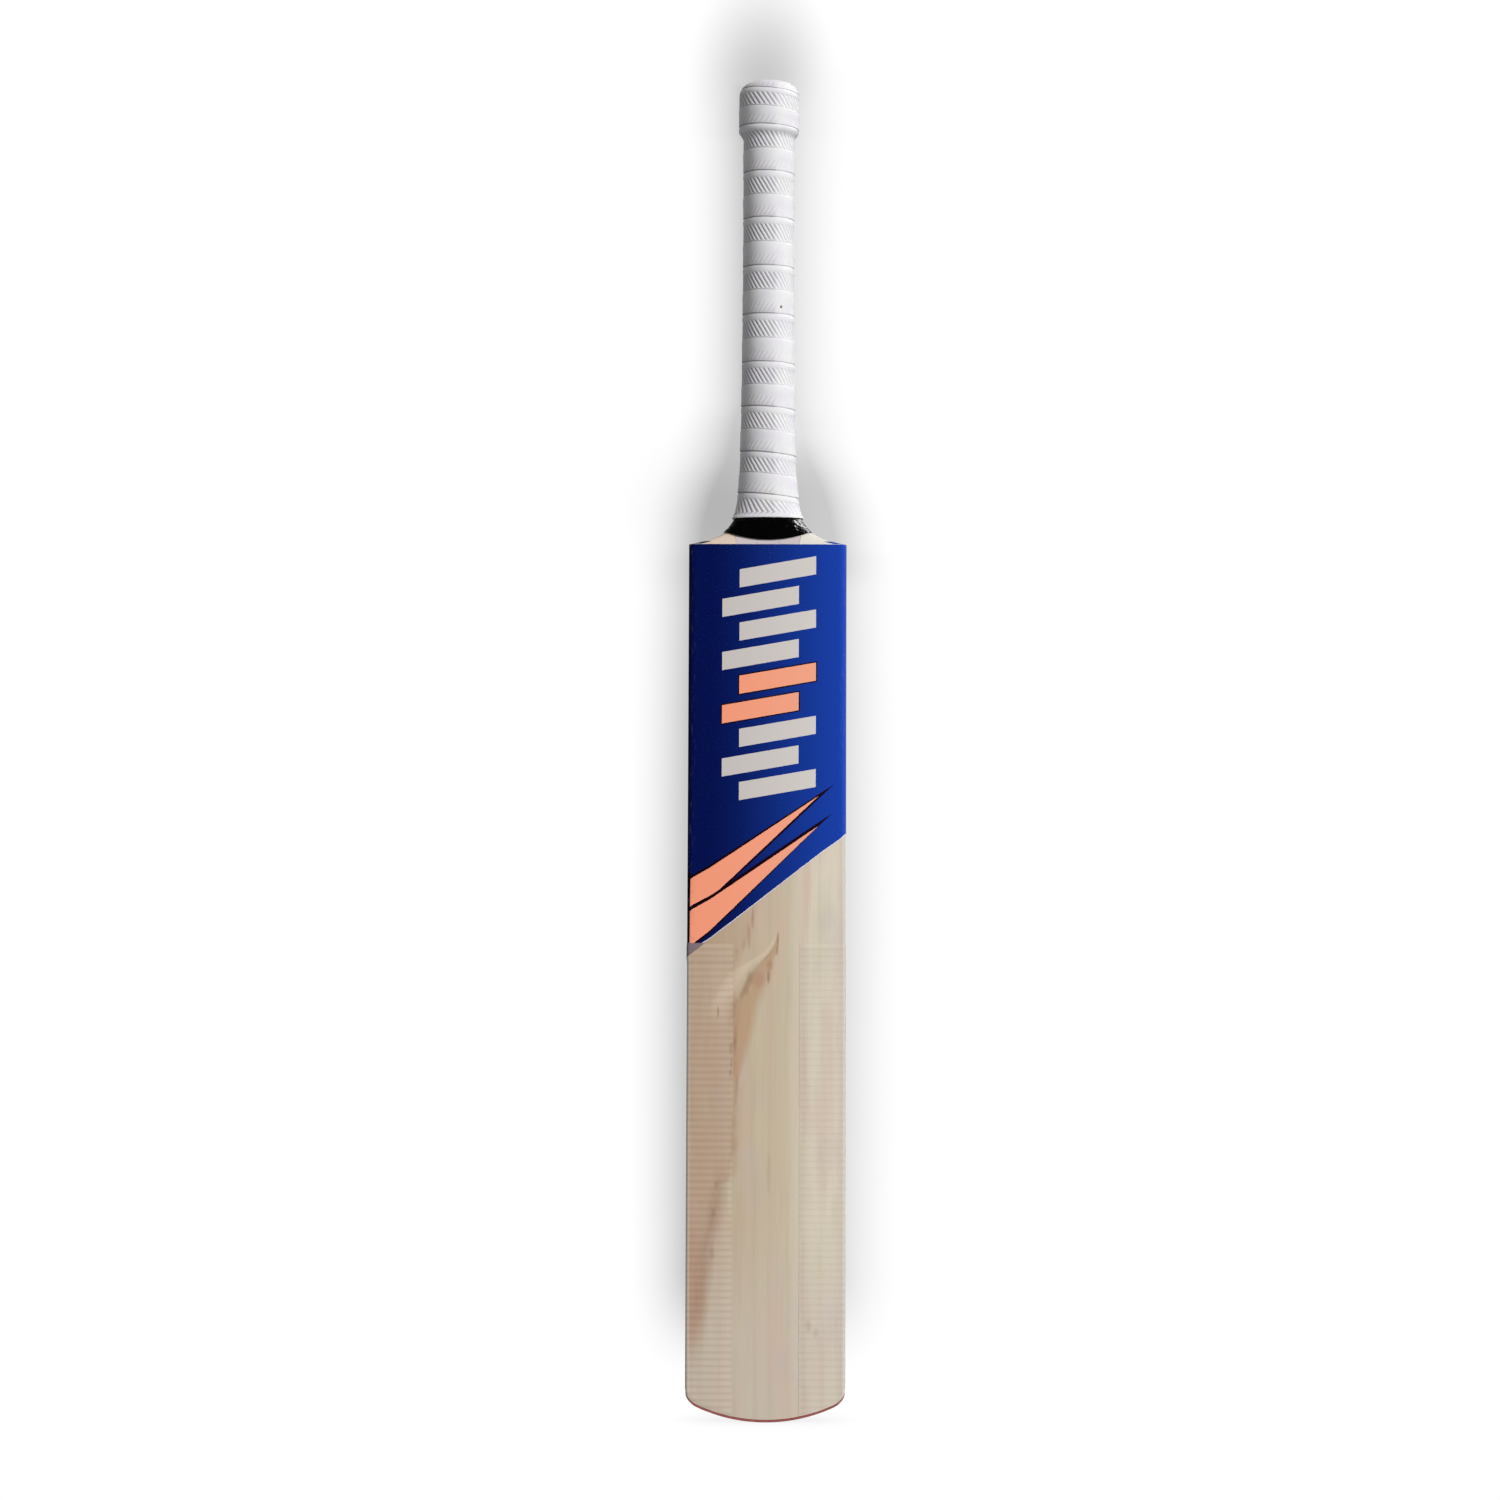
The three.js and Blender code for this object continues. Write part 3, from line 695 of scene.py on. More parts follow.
def print_finish(name, left, right):
    """Glossy printed vinyl, its ink going over to a brighter colour to the right as painted light and sheen
    from the right, rubbed along the right corner.
    """
    m = Finish(name, *left)
    speckle = m.grain(0.9, 0.9)
    # painted light and sheen: the ink goes over to its brighter colour towards the right
    m.paint(m.x.rise(-40, 66), *right)
    m.paint(speckle.rise(0.35, 0.75) * 0.03, *right)
    scuffs = m.grain(1.2, 0.15, 3).rise(0.56, 0.75)
    m.paint(scuffs * abs(m.x).rise(44, 50) * 0.25, 120, 130, 170)
    m.bump(speckle, 0.001, 0.3)
    gloss = {"Specular_IOR_Level": 0.35, "Coat_Weight": 0.2, "Coat_Roughness": 0.15}
    return m.finished(speckle * 0.05 + 0.24, **gloss)


def toe_finish():
    m = Finish("toe_rubber", 160, 84, 80)
    scuff = m.grain(0.35, 1.2, 3)
    m.paint(scuff.rise(0.45, 0.8) * 0.6, 190, 128, 122)
    m.bump(scuff, 0.08, 0.7)
    return m.finished(scuff * 0.2 + 0.45)


# ---- Wood and cane ----
NECK_HEIGHTS = spans((552, 4), (559, 8), (566, 20), (579, 0))
BLADE_HEIGHTS = np.concatenate([np.arange(60, 552, 4.0), NECK_HEIGHTS])


def toe_rings(raised, rounding):
    """Rings that follow the toe's outline at a height above it, rounded in at their lower edge."""
    rings = []
    for step in spans((0, 4), (1, 0)):
        drop = rounding * math.sin(step * math.pi / 2)
        pull = -rounding * (1 - math.sqrt(max(0.0, 1 - (1 - drop / rounding) ** 2)))
        points = surface(RING, 20.0, pull)
        rings.append(surface(RING, toe_z(points[:, 0]) + raised + drop, pull))
    return rings


def make_blade(finish):
    raised = GUARD_THICKNESS + GLUE
    rings = toe_rings(raised, 0.3)
    first_z = rings[-1][:, 2]
    for t in np.linspace(0.05, 1, 8, endpoint=False):
        rings.append(surface(RING, first_z + (BLADE_HEIGHTS[0] - first_z) * t))
    rings += [surface(RING, z) for z in BLADE_HEIGHTS]
    blade = closed_loft("willow_blade", rings, (lambda x: toe_z(x) + raised, None))
    cut(blade, prism_piece(splice_outline(2 * GLUE)))
    cut(blade, box_piece((-FAR, FAR), (-FAR, FAR), (high("blade").z, LENGTH)))
    soften(blade)
    settle(blade, "willow", finish, "blade")


def make_toe_guard(finish):
    rings = toe_rings(0.0, 0.6)
    top = surface(RING, rings[-1][:, 2])
    top[:, 2] = toe_z(top[:, 0]) + GUARD_THICKNESS
    rings.append(top)
    guard = closed_loft("toe_rubber_guard", rings, (toe_z, lambda x: toe_z(x) + GUARD_THICKNESS))
    settle(guard, "toe_rubber", finish, "toe_guard")


def splice_half_width(z):
    """Half the splice's width, as seen from the front."""
    tip, shoulder = 0.6, 20
    return tip + (shoulder - tip) * (z - WEDGE_TIP_Z) / (SHOULDER_Z - WEDGE_TIP_Z)


def splice_outline(gap):
    """The right half of the notch for the splice, grown by a gap and carried on above the willow."""
    tip_z, top_z = WEDGE_TIP_Z, 600
    return [(splice_half_width(tip_z) + gap, tip_z - gap), (splice_half_width(top_z) + gap, top_z)]


def make_canes(finish):
    """The outermost cane strips, front and back, where they show in the splice."""
    top_z = high("blade").z
    on_handle = spans((579, 8), (600, 6), (750, 3), (CANE_TOP, 0))
    heights = np.concatenate([np.arange(424, 552, 4.0), NECK_HEIGHTS[:-1], on_handle])
    blank = closed_loft("blank", [surface(RING, z) for z in heights])
    wedge = [(splice_half_width(z), z) for z in (WEDGE_TIP_Z, top_z)]
    cut(blank, prism_piece(wedge + [(FAR, top_z), (FAR, LENGTH)]), "INTERSECT")
    inner, gap = 7, GLUE / 2
    columns = {
        "left": (-FAR, -inner - gap),
        "centre": (-inner + gap, inner - gap),
        "right": (inner + gap, FAR),
    }
    layers = {"front": (-FAR, high("cane_front_centre").y), "back": (low("cane_back_centre").y, FAR)}
    for layer, depth in layers.items():
        spring = f"rubber_spring_{layer}"
        slot = (low(spring).y - GLUE, high(spring).y + GLUE)
        for column, across in columns.items():
            cane = add_object(f"planed_cane_{layer}_{column}", blank.data.copy())
            cut(cane, box_piece(across, depth, (0, LENGTH)), "INTERSECT")
            cut(cane, box_piece((-FAR, FAR), slot, (low(spring).z - GLUE, LENGTH)))
            soften(cane)
            settle(cane, "cane", finish, f"cane_{layer}_{column}")
    bpy.data.objects.remove(blank)


# ---- Sheets on the blade ----
TAPE_STEP_Z = 292.5  # where the left tape starts to rise over the face sticker


def make_tape(side, finish):
    """side is 1 for the right edge and -1 for the left, whose top steps over the face sticker's tip."""
    name = "edge_tape_right" if side > 0 else "edge_tape_left"
    f = side * spans((2, 10), (3, 6), (4, 8), (6, 4), (6.6, 0))[::side]
    start = toe_z(surface(f, 18.0, 0.3)[:, 0]) + GUARD_THICKNESS + 3 * GLUE
    rows = int((TAPE_TOP - 20) / RIB_PITCH * 10)
    z = start + (TAPE_TOP - start) * np.linspace(0, 1, rows)[:, None]
    over = smoothstep((z - TAPE_STEP_Z) / 4) * (side < 0)
    rib = 0.5 + 0.5 * np.cos(2 * math.pi * z / RIB_PITCH)
    from_end = np.minimum(np.arange(rows), np.arange(rows)[::-1])[:, None]
    fade = np.minimum(1, from_end / 4)
    rise = smoothstep((np.abs(f) - 2) / 0.35) * smoothstep(from_end / 6)
    lifted = STICKER_OUTER * over
    outer = 0.12 + lifted + 0.2 * rise + 0.06 * rib**2 * fade * rise
    tape = shell(f"ribbed_{name}", f[None, :], z, GLUE + lifted, outer)
    settle(tape, "fibre_tape", finish, name)


def make_edge_sticker(side, finish):
    """A sheet round the blade's edge, whose top goes on over the shoulder and reaches forward there."""
    name = "edge_sticker_right" if side > 0 else "edge_sticker_left"
    top = spans((SHOULDER_Z - 8, 4), (SHOULDER_Z + 0.1, 4), (SHOULDER_Z + 0.5, 6), (EDGE_STICKER_TOP, 0))
    z = np.concatenate([np.arange(low(name).z, SHOULDER_Z - 8, 4.0), top])
    front = 6.005 - 2.1 * smoothstep((z - SHOULDER_Z - 0.15) / 0.3)[:, None]
    f = front + spans((0, 4), (0.5, 6), (1, 0)) * (8 - front)
    sticker = shell(f"printed_{name}", side * f[:, ::side], z[:, None], GLUE, STICKER_OUTER)
    settle(sticker, "sticker_vinyl", finish, name)


def laid_flat(outline, mark, run):
    """An outline's x turned into the distance round the wood, with its long edges split."""
    points = []
    for (x0, z0), (x1, z1) in zip(outline, outline[1:] + outline[:1]):
        count = max(1, int(math.hypot(x1 - x0, z1 - z0) / 1.5))
        for t in np.arange(count) / count:
            points.append((float(np.interp(x0 + (x1 - x0) * t, mark, run)), z0 + (z1 - z0) * t))
    return points


def points_inside(edge, heights, run):
    """Points at each of the heights and distances round the wood that are inside a convex edge."""
    margin = 0.25
    points = []
    for z in heights:
        ends = []
        for (s0, z0), (s1, z1) in zip(edge, edge[1:] + edge[:1]):
            if (z0 < z) != (z1 < z):
                ends.append(s0 + (s1 - s0) * (z - z0) / (z1 - z0))
        if ends:
            points += [(s, z) for s in run if min(ends) + margin < s < max(ends) - margin]
    return points


def sticker_sheet(name, stations, heights, border, shapes, finishes):
    """A printed sheet: border is its outline and shapes are (finish index, outline), as (x, z) points.

    The sheet is laid out flat along the distance round the wood at mid height, from station to station.
    """
    middle = surface(stations, np.full(len(stations), np.mean([p[1] for p in border])))
    run = np.concatenate([[0], np.cumsum(np.hypot(*np.diff(middle[:, :2], axis=0).T))])
    mark = middle[:, 0] * np.sign(middle[-1, 0])
    run -= np.interp(0, mark, run)
    plan, outlines = [], []
    for outline in [border] + [outline for _, outline in shapes]:
        points = laid_flat(outline, mark, run)
        outlines.append(list(range(len(plan), len(plan) + len(points))))
        plan += points
    plan += points_inside(laid_flat(border, mark, run), heights, run[1:-1])
    plan = [Vector(p) for p in plan]
    points, _, triangles, _, _, owners = delaunay_2d_cdt(plan, [], outlines, 1, 1e-5)
    s, z = np.array([tuple(p) for p in points]).T
    f = np.interp(s, run, stations)
    numbers = [BLUE] + [number for number, _ in shapes]
    kept = [(tuple(t), numbers[max(o)]) for t, o in zip(triangles, owners) if 0 in o]
    faces = sheet_faces([t for t, _ in kept], len(f))
    piece = make_piece(name, np.vstack([surface(f, z, STICKER_OUTER), surface(f, z, GLUE)]), faces)
    for finish in finishes:
        piece.data.materials.append(finish)
    for polygon, (_, number) in zip(piece.data.polygons, kept):
        polygon.material_index = number
    return piece


BLUE, GREY, ORANGE, DARK, WHITE = range(5)  # the stickers' finishes, in build_bat's order
SLASH_LEFT = -47.5
BAR_PITCH = 17
BAR_HALF = 5.8


def band(reach, left_z, right_z, bottom, top):
    """A band across the sheet from a height below a line to a height above it."""
    x = reach
    return [(-x, left_z + bottom), (x, right_z + bottom), (x, right_z + top), (-x, left_z + top)]


def slanted_bar(x0, x1, z, slope, margin=0.0):
    """A bar between two x, its middle at height z where x is 0, grown on all sides by a margin."""
    up = BAR_HALF + margin * math.hypot(1, slope)
    corners = ((x0 - margin, -up), (x1 + margin, -up), (x1 + margin, up), (x0 - margin, up))
    return [(x, z + slope * x + rise) for x, rise in corners]


def bar_stack(count, first_z, slope, reaches, orange):
    """Slanted bars from the top down, of two reaches by turns; the orange ones have a dark outline."""
    shapes = []
    for k in range(count):
        place = (*reaches[k % 2], first_z - BAR_PITCH * k, slope)
        if k in orange:
            shapes.append((DARK, slanted_bar(*place, 0.8)))
        shapes.append((ORANGE if k in orange else GREY, slanted_bar(*place)))
    return shapes


def face_shapes():
    """The print on the face: a pale lower border, two tapered stripes and a stack of bars."""
    reach = 49.9
    left_z = STICKER_LEFT_Z + STICKER_SLOPE * (SHOULDER_HALF_WIDTH - reach)
    right_z = left_z + STICKER_SLOPE * 2 * reach
    x = SLASH_LEFT
    shapes = [
        (WHITE, band(reach, left_z, right_z, -3, 0.8)),
        (DARK, [(-49.95, 301), (x + 0.1, 303), (x + 0.1, 352), (-49.95, 352)]),
        (DARK, [(x - 1, 327.8), (-30, 339.2), (43.1, 408.6), (x - 1, 348.4)]),
        (DARK, [(x - 1, 303.8), (-45.4, 303.8), (41.5, 389.8), (x - 1, 328.6)]),
        (ORANGE, [(x, 329.6), (-30.5, 340.5), (32.9, 400.8), (x, 347.2)]),
        (ORANGE, [(x, 305.3), (-46, 305.0), (32.5, 381.4), (x, 326.7)]),
    ]
    return shapes + bar_stack(9, 542.825, 0.175, ((-18, 31), (-29, 20)), (4, 5))


def back_shapes(end, bottom, top):
    """The print on the back: the same family of shapes, smaller."""
    shapes = [(WHITE, band(end + 1, bottom, bottom, -1, 0.8))]
    shapes += bar_stack(5, top - 32, 0.17, ((-12, 19), (-19, 12)), (2,))
    for z in (bottom + 30, bottom + 56):
        shapes.append((DARK, [(-29.6, z - 1.3), (26, z + 52), (-29.6, z + 17.3)]))
        shapes.append((ORANGE, [(-28.6, z), (20, z + 46), (-28.6, z + 16)]))
    return shapes


def make_face_sticker(finishes):
    half = spans((0, 14), (3, 5), (4, 9), (5.98, 0))
    stations = np.concatenate([-half[:0:-1], half])
    end = float(surface(5.98, 450.0)[0]) - 1e-3
    right_z = STICKER_LEFT_Z + STICKER_SLOPE * 2 * end
    border = [(-end, STICKER_LEFT_Z), (end, right_z), (end, SHOULDER_Z), (-end, SHOULDER_Z)]
    heights = np.arange(302, SHOULDER_Z - 1, 5.0)
    sheet = sticker_sheet("printed_face_sticker", stations, heights, border, face_shapes(), finishes)
    settle(sheet, "sticker_vinyl", None, "face_sticker")


def make_back_sticker(finishes):
    stations = HALF + spans((-3.5, 34), (-1.2, 28), (1.2, 34), (3.5, 0))
    bottom, top = BACK_STICKER_Z
    end = abs(float(surface(HALF + 3.5, (bottom + top) / 2)[0])) - 1e-3
    border = band(end, bottom, bottom, 0, top - bottom)
    heights = np.arange(bottom + 4, top - 1, 5.0)
    shapes = back_shapes(end, bottom, top)
    sheet = sticker_sheet("printed_back_sticker", stations, heights, border, shapes, finishes)
    settle(sheet, "sticker_vinyl", None, "back_sticker")


# ---- Sleeves on the handle ----
def make_neck_tape(finish):
    """Tape wound over ridged twine, crinkled, its lower edge dipping at the front and back."""
    f = full_ring(spans((0, 110), (14, 0)))
    lower = np.full(len(f), 568.0)
    for _ in range(12):
        lower = 0.5 * lower + 0.5 * neck_edge_z(surface(f, lower, 1.2)[:, 0])
    rows = np.arange(60)
    from_end = np.minimum(rows, rows[::-1])[:, None]
    z = lower + (NECK_TAPE_TOP - lower) * (rows / rows[-1])[:, None]
    ridge = np.abs(np.sin(math.pi * (z - 0.02 * np.arange(len(f))) / 1.25)) ** 0.7
    crinkle = np.sin(math.pi * f * 1.1 + 1.7 * np.sin(z * 0.9)) * np.sin(z * 1.7 + 2.3 * np.sin(f * 1.3))
    crinkle = np.abs(crinkle) ** 0.6 * np.sign(crinkle)
    outer = 1.3 + np.minimum(1, from_end / 3) * (0.12 * ridge + 0.24 * crinkle)
    rings = [surface(f, z[r], outer[r]) for r in rows]
    rings += [surface(f, z[r], 0.9) for r in rows[::-4]]
    settle(closed_tube("wrapped_neck_tape", rings), "black_tape", finish, "neck_tape")


def closed_tube(name, rings, sharp=40):
    """A ring-shaped body whose last ring joins its first."""
    count = len(rings) * len(rings[0])
    faces = tube_faces(len(rings) + 1, len(rings[0]))
    faces = [tuple(v % count for v in face) for face in faces]
    return make_piece(name, np.vstack(rings), faces, sharp)


GRIP_LINES = 36  # hatching lines round the grip
LINE_COLUMNS = 8  # columns of points across each line
GRIP_COLUMNS = GRIP_LINES * LINE_COLUMNS
GRIP_ROUND = 108  # the grip's girth, in millimetres
HATCH_ANGLE = 33  # how far the hatching leans, in degrees
FOLD_DOWN = 9.5  # how far down the outside the grip's rounded end starts
FOLD_IN = 8
# The dark ring lines between the grip's bands; the first is above its end and the last below its hem.
RING_LINES = (878, 854, 830.6, 801.4, 771.6, 740.7, 709.8, 679, 650.2, 620.8, 594, 567)


def grip_heights():
    """(height, share of the way from one ring line to the next) for each ring of points, downwards."""
    shares = np.concatenate([
        [0.0, 0.01, 0.02, 0.035, 0.06, 0.1, 0.13, 0.145, 0.16],
        np.linspace(0.19, 0.47, 8), [0.485, 0.495, 0.503, 0.511, 0.525], [0.56, 0.62, 0.68, 0.73],
        np.linspace(0.77, 0.95, 6), [0.97, 0.985, 0.993],
    ])
    rows = []
    for upper, lower in zip(RING_LINES, RING_LINES[1:]):
        rows += [(upper - share * (upper - lower), share) for share in shares]
    return rows


def notch(share, at, reach):
    return np.exp(-(((share - at) / reach) ** 2))


def plateau(share, start, rise, end, fall):
    return smoothstep((share - start) / rise) * (1 - smoothstep((share - end) / fall))


def grip_relief(share, column, z):
    """(how far the surface stands out in millimetres, and how much painted shade it gets from 0 to 1, deep
    in the grooves and at each band's lower edge).
    """
    line = 0.5 + 0.5 * np.cos(2 * math.pi * column / LINE_COLUMNS)
    ridge = plateau(share, 0.01, 0.04, 0.11, 0.04)
    hatch = plateau(share, 0.14, 0.03, 0.47, 0.02)
    fine = plateau(share, 0.74, 0.08, 0.95, 0.03)
    ring = notch(share, 0, 0.012) + notch(share, 1, 0.012)
    step = notch(share, 0.503, 0.011)
    swell = 0.2 * notch(share, 0.63, 0.1)
    flare = 0.25 + 0.3 * smoothstep((680 - z) / 60) * smoothstep((z - 575) / 20)
    widening = flare * (share if share < 0.5 else 0.4 + 1.2 * (share - 0.5))
    height = 0.25 * ridge + swell + widening - 0.1 - 0.3 * ring - 0.24 * step
    height = height - 0.5 * hatch * line**2 - 0.12 * fine * line
    # The second value is painted shade: it darkens the hatching, the ring lines, the step and the lower
    # edge of each band, which turns down away from the light above.
    lower_edge = smoothstep((share - 0.86) / 0.12)
    depth = hatch * line**3 + 0.35 * fine * line**2 + 0.9 * ring + 0.7 * step + 0.25 * lower_edge
    return height, np.clip(depth, 0, 1)


def grip_outside(z):
    """The grip's smooth outer surface, as a distance from the wood."""
    winding_from = WINDING_Z[0]
    sleeve = curve_through([
        (GRIP_BOTTOM, 2.7), (NECK_TAPE_TOP, 2.6), (winding_from - 7, 2.8), (winding_from - 1, 5.6),
        (LENGTH, 5.6),
    ])
    turned = np.clip((z - (LENGTH - FOLD_DOWN)) / FOLD_DOWN, 0, 1)
    return sleeve(z) - FOLD_IN * (1 - np.sqrt(1 - turned**2))


def grip_inside(z):
    """The grip's bore, which clears the neck tape, the twine and the end winding."""
    winding_from, winding_to = WINDING_Z
    bore = curve_through([
        (GRIP_BOTTOM, 1.7), (NECK_TAPE_TOP, 1.7), (NECK_TAPE_TOP + 5, 0.9), (winding_from - 7, 0.9),
        (winding_from - 1, 3.3), (winding_to + 0.5, 3.3), (winding_to + 3, 0.9), (LENGTH, 0.9),
    ])
    return bore(z)


def ring_tilt(z):
    """How steeply the bands lean down to the right: a little, and more at both ends."""
    return 0.03 + 0.065 * smoothstep((700 - z) / 80) + 0.08 * smoothstep((z - 810) / 40)


def grip_bands():
    """The patterned outside, top to bottom: rings of points, the painted shade of their grooves, and the
    last ring's turn.
    """
    columns = np.arange(GRIP_COLUMNS)
    around = 2 * HALF * columns / GRIP_COLUMNS
    top = LENGTH - 2.6
    hatch_lean = math.tan(math.radians(HATCH_ANGLE))
    rings, depths = [], []
    turn = 0.0
    last_z, last_share = RING_LINES[0], 0.0
    for z, share in grip_heights():
        middle = (share + last_share) / 2
        lean = hatch_lean if 0.13 < middle < 0.5 else -hatch_lean if 0.74 < middle < 0.97 else 0
        turn += (last_z - z) * lean if z < top else 0
        last_z, last_share = z, share
        if not GRIP_BOTTOM + 2.4 < z < top:
            continue
        f = around + turn / GRIP_ROUND * 2 * HALF
        fade = smoothstep((z - GRIP_BOTTOM - 2) / 8) * smoothstep((LENGTH - 1.5 - z) / 5)
        height = z - ring_tilt(z) * fade * surface(f, z, 2.8)[:, 0]
        height = np.clip(height, GRIP_BOTTOM + 2, top)
        relief, depth = grip_relief(share, columns, z)
        relief = (relief - 0.1) * smoothstep((LENGTH - 2 - height) / 4)
        rings.append(surface(f, height, grip_outside(height) + relief))
        depths.append(np.broadcast_to(depth, GRIP_COLUMNS))
    return rings, depths, turn


def make_grip(finish):
    """A rubber sleeve with ridges, grooves and hatching, whose thick end folds over the handle."""
    winding_from, winding_to = WINDING_Z
    around = 2 * HALF * np.arange(GRIP_COLUMNS) / GRIP_COLUMNS
    bands, depths, turn = grip_bands()
    around_end = around + turn / GRIP_ROUND * 2 * HALF
    lip = [surface(around, LENGTH, o) for o in (-6.7, -4.5, -2.6)]
    fold = [surface(around, z, grip_outside(z) - 0.1) for z in LENGTH - np.array([0.15, 0.6, 1.3, 2])]
    hem_shape = ((1.5, 2.7), (1.0, 2.85), (0.3, 2.8), (0.0, 2.5), (0.0, 2.0), (0.4, 1.7))
    hem = [surface(around_end, GRIP_BOTTOM + h, o) for h, o in hem_shape]
    bore = []
    for z in (NECK_TAPE_TOP, NECK_TAPE_TOP + 2.5, NECK_TAPE_TOP + 5, 640, 700, 760, winding_from - 7,
              winding_from - 4, winding_from - 1, winding_to + 0.5, winding_to + 1.8, winding_to + 3,
              CANE_TOP + 0.2):
        share = (z - GRIP_BOTTOM) / (LENGTH - GRIP_BOTTOM)
        bore.append(surface(around_end + (around - around_end) * share, z, grip_inside(z)))
    under = [surface(around, CANE_TOP + 0.2, o) for o in (-3.0, -6.9)]
    mouth = [surface(around, z, -7.4) for z in (CANE_TOP + 0.5, LENGTH - 0.5)]
    rings = lip + fold + bands + hem + bore + under + mouth
    grip = closed_tube("ribbed_grip", rings, sharp=60)
    # painted shade in the grooves, kept on the points for the grip's finish
    groove_shade = np.zeros((len(rings), GRIP_COLUMNS))
    first = len(lip + fold)
    groove_shade[first:first + len(bands)] = depths
    grip.data.attributes.new("groove_shade", "FLOAT", "POINT").data.foreach_set("value", groove_shade.ravel())
    settle(grip, "grip_rubber", finish, "grip")


# ---- The whole bat ----
def build_bat():
    willow, cane, tape = willow_finish(), cane_finish(), tape_finish()
    thread, spring = thread_finish(), spring_finish()
    # Each print's second colour is its ink with painted light and sheen, reached at the right of the face.
    blue = print_finish("blue_print", (1, 15, 80), (24, 68, 180))
    prints = [
        blue,
        print_finish("grey_print", (206, 199, 196), (226, 220, 214)),
        print_finish("orange_print", (255, 161, 127), (255, 178, 146)),
        print_finish("dark_print", (24, 4, 18), (34, 8, 26)),
        print_finish("pale_print", (216, 214, 226), (232, 230, 236)),
    ]
    make_blade(willow)
    make_toe_guard(toe_finish())
    make_canes(cane)
    for side in (-1, 1):
        make_tape(side, tape)
        make_edge_sticker(side, blue)
    make_face_sticker(prints)
    make_back_sticker(prints)
    make_neck_tape(neck_tape_finish())
    make_grip(grip_finish())
    # The pieces hidden inside stay the frame's own, and only get a finish.
    kept = {"cane_mid": cane, "rubber_spring": spring, "twine_binding": thread, "end_winding": thread}
    for name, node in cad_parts.items():
        for start, finish in kept.items():
            if name.startswith(start):
                for slot in node.material_slots:
                    slot.material = finish


# ---- Studio ----
CAMERA_X = -0.011
WALL_Y = 40
STAGE_REACH = 3000
PAPER_WHITE = 1.02
FILL = 0.26


def paper_finish(name, shade):
    """White paper that glows evenly, less a shade from 0 to 1, and that is clear from behind."""
    m = Finish(name)
    m.tree.nodes.remove(m.shader)
    colour = m.blend(shade(m), (1, 1, 1, 1), (0, 0, 0, 1))
    paper = m.add("Emission", colour, PAPER_WHITE)
    behind = m.add("NewGeometry", output="Backfacing")
    either = m.add("MixShader", behind, paper, m.add("BsdfTransparent"))
    m.feed(m.tree.nodes["Material Output"].inputs["Surface"], either)
    return m.material


# (height, half width) of the outline that the shadow spreads from.
HALO_OUTLINE = ((0, 51), (SHOULDER_Z - 25, 50), (SHOULDER_Z, 44), (584, 39.5), (603, 33), (622, 25),
                (641, 21.5), (667, 17), (820, 17), (830, 19), (LENGTH, 19))


def halo(m):
    """The soft shadow on the wall: a halo round the bat, darker to its left, above it and at its neck."""
    spread = 1.025
    x = (m.x - CAMERA_X / MM) / spread + CAMERA_X / MM
    z = (m.z - LENGTH / 2) / spread + LENGTH / 2
    side = m.larger(abs(x) - m.path(z, HALO_OUTLINE), 0)
    above = m.larger(z - (LENGTH - 2), 0)
    away = (side ** 2 + above ** 2) ** 0.5
    reach = 44
    depth = m.larger(x.rise(10, -10), m.spot(0, 586, 200, 40, 1)) * 0.17 + 0.24
    shade = (1 - m.smaller(away / reach, 1)) ** 1.9 * depth * z.rise(15, 95)
    from_neck = (((x + 31.5) / 83) ** 2 + ((z - 584) / 76) ** 2) ** 0.5
    from_top = (((x + 4.5) / 57) ** 2 + ((z - LENGTH) / 88) ** 2) ** 0.5
    shade = m.larger(shade + from_neck.rise(1, 0) * 0.14, from_top.rise(1, 0) * 0.43)
    return shade * facing(m).rise(0.86, 0.95)


def facing(m):
    """1 where the surface is seen squarely, down to 0 where it is seen edge-on."""
    return abs(m.dot(*(m.add("NewGeometry", output=name) for name in ("Incoming", "Normal"))))


def contact(m):
    """The shade on the floor close under the toe."""
    return (1 - m.add("AmbientOcclusion", inputs={"Distance": 0.03}, output="AO", samples=8)) * 0.15


def make_stage():
    """A pale floor, and a pale wall close behind the bat that is seen from the front only."""
    reach = STAGE_REACH
    floor = [(-reach, -reach, 0), (reach, -reach, 0), (reach, reach, 0), (-reach, reach, 0)]
    wall = [(-reach, WALL_Y, 0), (reach, WALL_Y, 0), (reach, WALL_Y, reach), (-reach, WALL_Y, reach)]
    sheets = []
    for name, corners, shade in (("floor", floor, contact), ("backdrop", wall, halo)):
        sheet = make_piece(name, corners, [(0, 1, 2, 3)])
        sheet.data.materials.append(paper_finish(f"{name}_paper", shade))
        for ray in ("diffuse", "glossy", "shadow", "transmission"):
            setattr(sheet, f"visible_{ray}", False)
        sheets.append(sheet)
    sheets[0].location.z = -0.0003


def towards(w, direction, start, end):
    """0 to 1, the nearer a ray comes to a direction: start and end are cosines of the angle between."""
    place = w.add("TexCoord", output="Generated")
    return w.dot(place, Vector(direction).normalized()).rise(start, end)


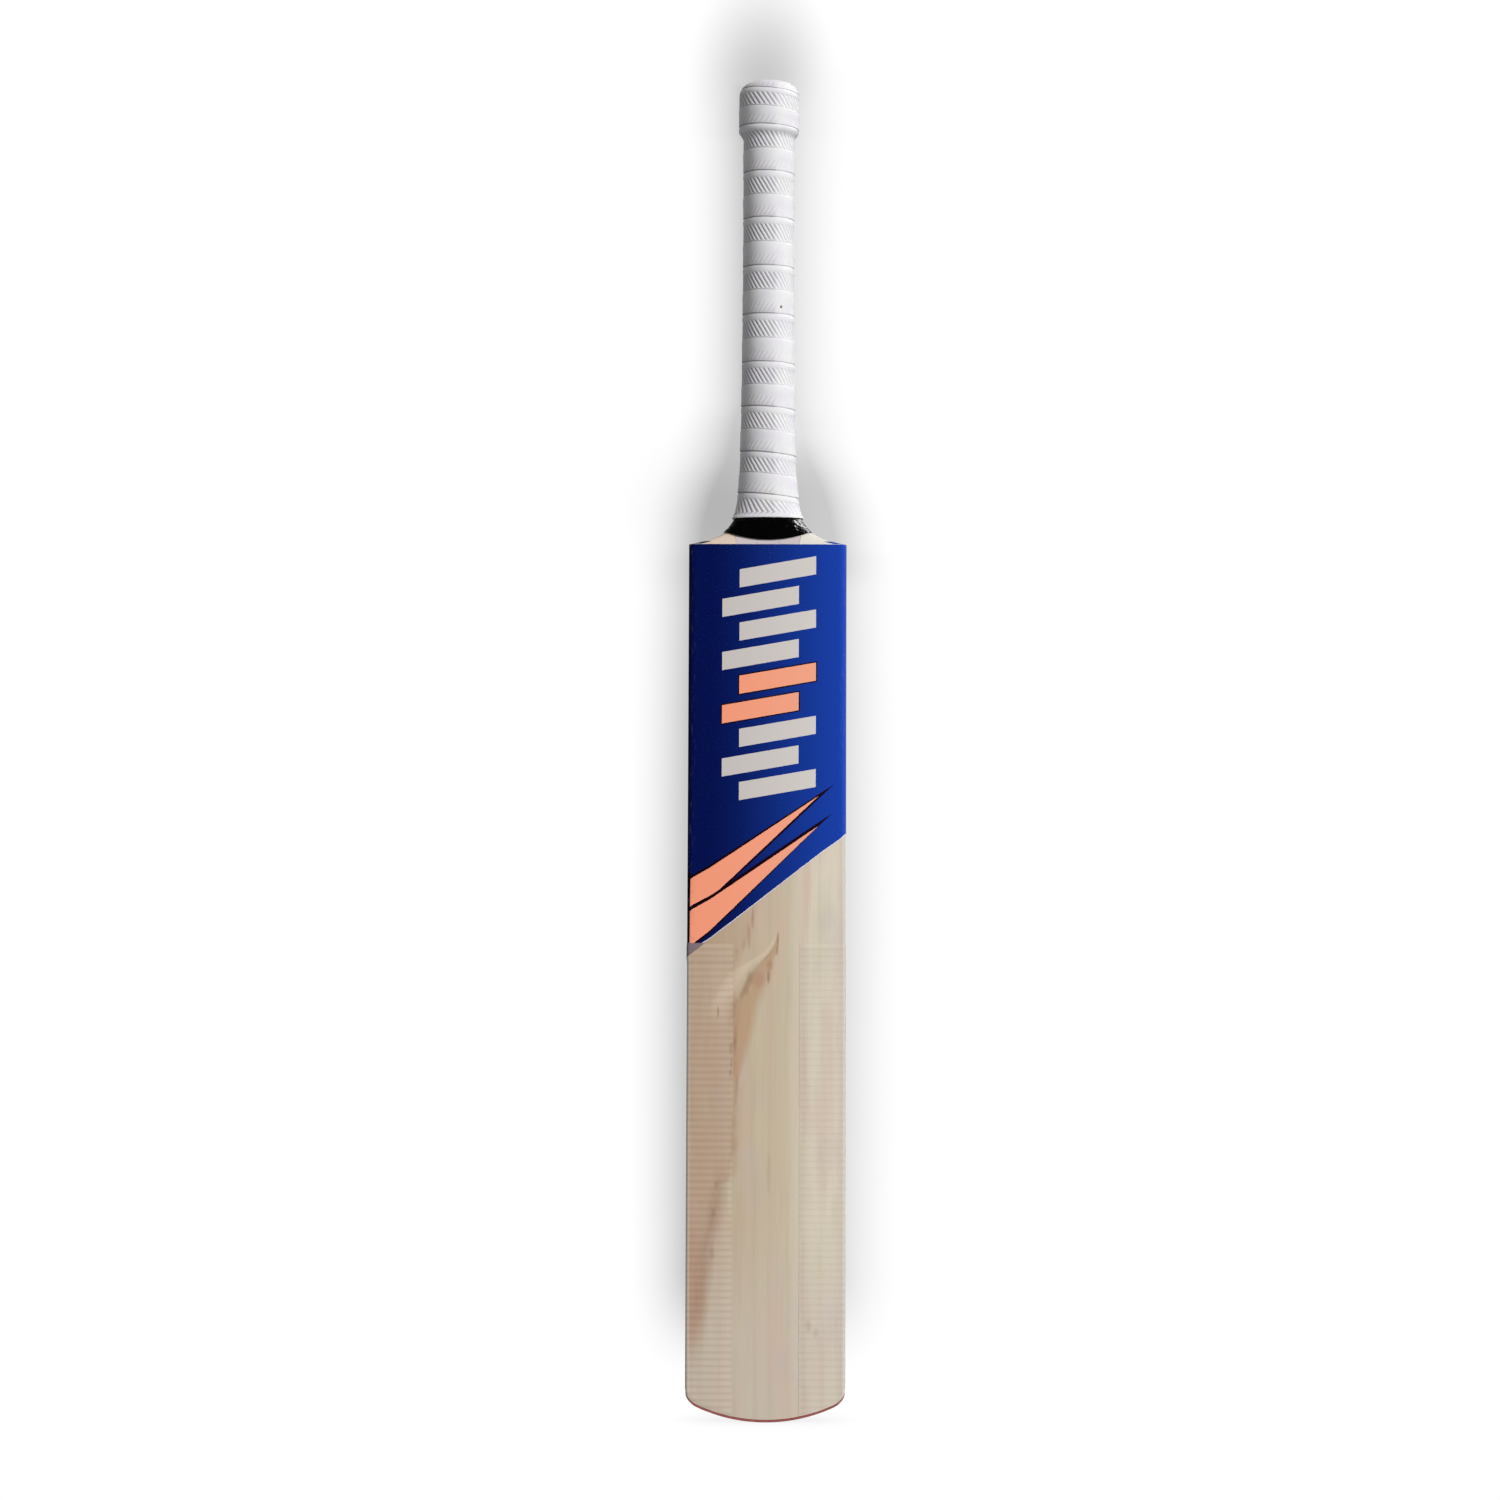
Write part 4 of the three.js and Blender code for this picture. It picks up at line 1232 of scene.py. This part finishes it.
def make_light():
    """A soft key from the right of the camera, a soft light behind the bat, and a weak even fill.

    The bat mirrors a bright panel up on the right and a grey that grows that way. The camera sees white.
    """
    sun("key", azimuth=42, elevation=22, strength=2.97, width=22)
    sun("back", azimuth=186, elevation=28, strength=1.7, width=60)
    world = bpy.data.worlds.new("studio")
    bpy.context.scene.world = world
    world.use_nodes = True
    w = Nodes(world.node_tree)
    w.tree.nodes.clear()
    panel = towards(w, (0.7, 0.36, 0.6), 0.91, 0.965) * 9
    side = towards(w, (0.8, 0.6, 0), 0, 0.8) * 0.34 + 0.01
    white = (1, 1, 1, 1)
    fill, mirrored, paper = (w.add("Background", white, s) for s in (FILL, panel + side, PAPER_WHITE))
    lit = w.add("MixShader", w.add("LightPath", output="Is Glossy Ray"), fill, mirrored)
    seen = w.add("MixShader", w.add("LightPath", output="Is Camera Ray"), lit, paper)
    w.feed(w.tree.nodes.new("ShaderNodeOutputWorld").inputs["Surface"], seen)


def sun(name, azimuth, elevation, strength, width):
    """A soft sun; its azimuth is 0 in front of the face and grows to the right, all in degrees."""
    data = bpy.data.lights.new(name, "SUN")
    data.energy = strength
    data.angle = math.radians(width)
    lamp = add_object(name, data)
    across, up = math.radians(azimuth), math.radians(elevation)
    place = Vector((math.sin(across) * math.cos(up), -math.cos(across) * math.cos(up), math.sin(up)))
    lamp.location = place * 2
    lamp.rotation_euler = (-place).to_track_quat("-Z", "Y").to_euler()
    lamp.visible_glossy = False


def make_camera():
    """Straight at the face at mid height, a little to the left of the bat's axis."""
    distance, seen_angle, roll = 1.955, 27.56, -0.19
    camera = bpy.data.cameras.new("camera")
    camera.sensor_width = 36
    camera.lens = camera.sensor_width / 2 / math.tan(math.radians(seen_angle / 2))
    view = add_object("camera", camera)
    view.location = (CAMERA_X, FACE_Y * MM - distance, LENGTH * MM / 2)
    view.rotation_euler = (math.pi / 2, math.radians(roll), 0)
    bpy.context.scene.camera = view


build_bat()
make_stage()
make_light()
make_camera()
bpy.context.scene.view_settings.view_transform = "Standard"
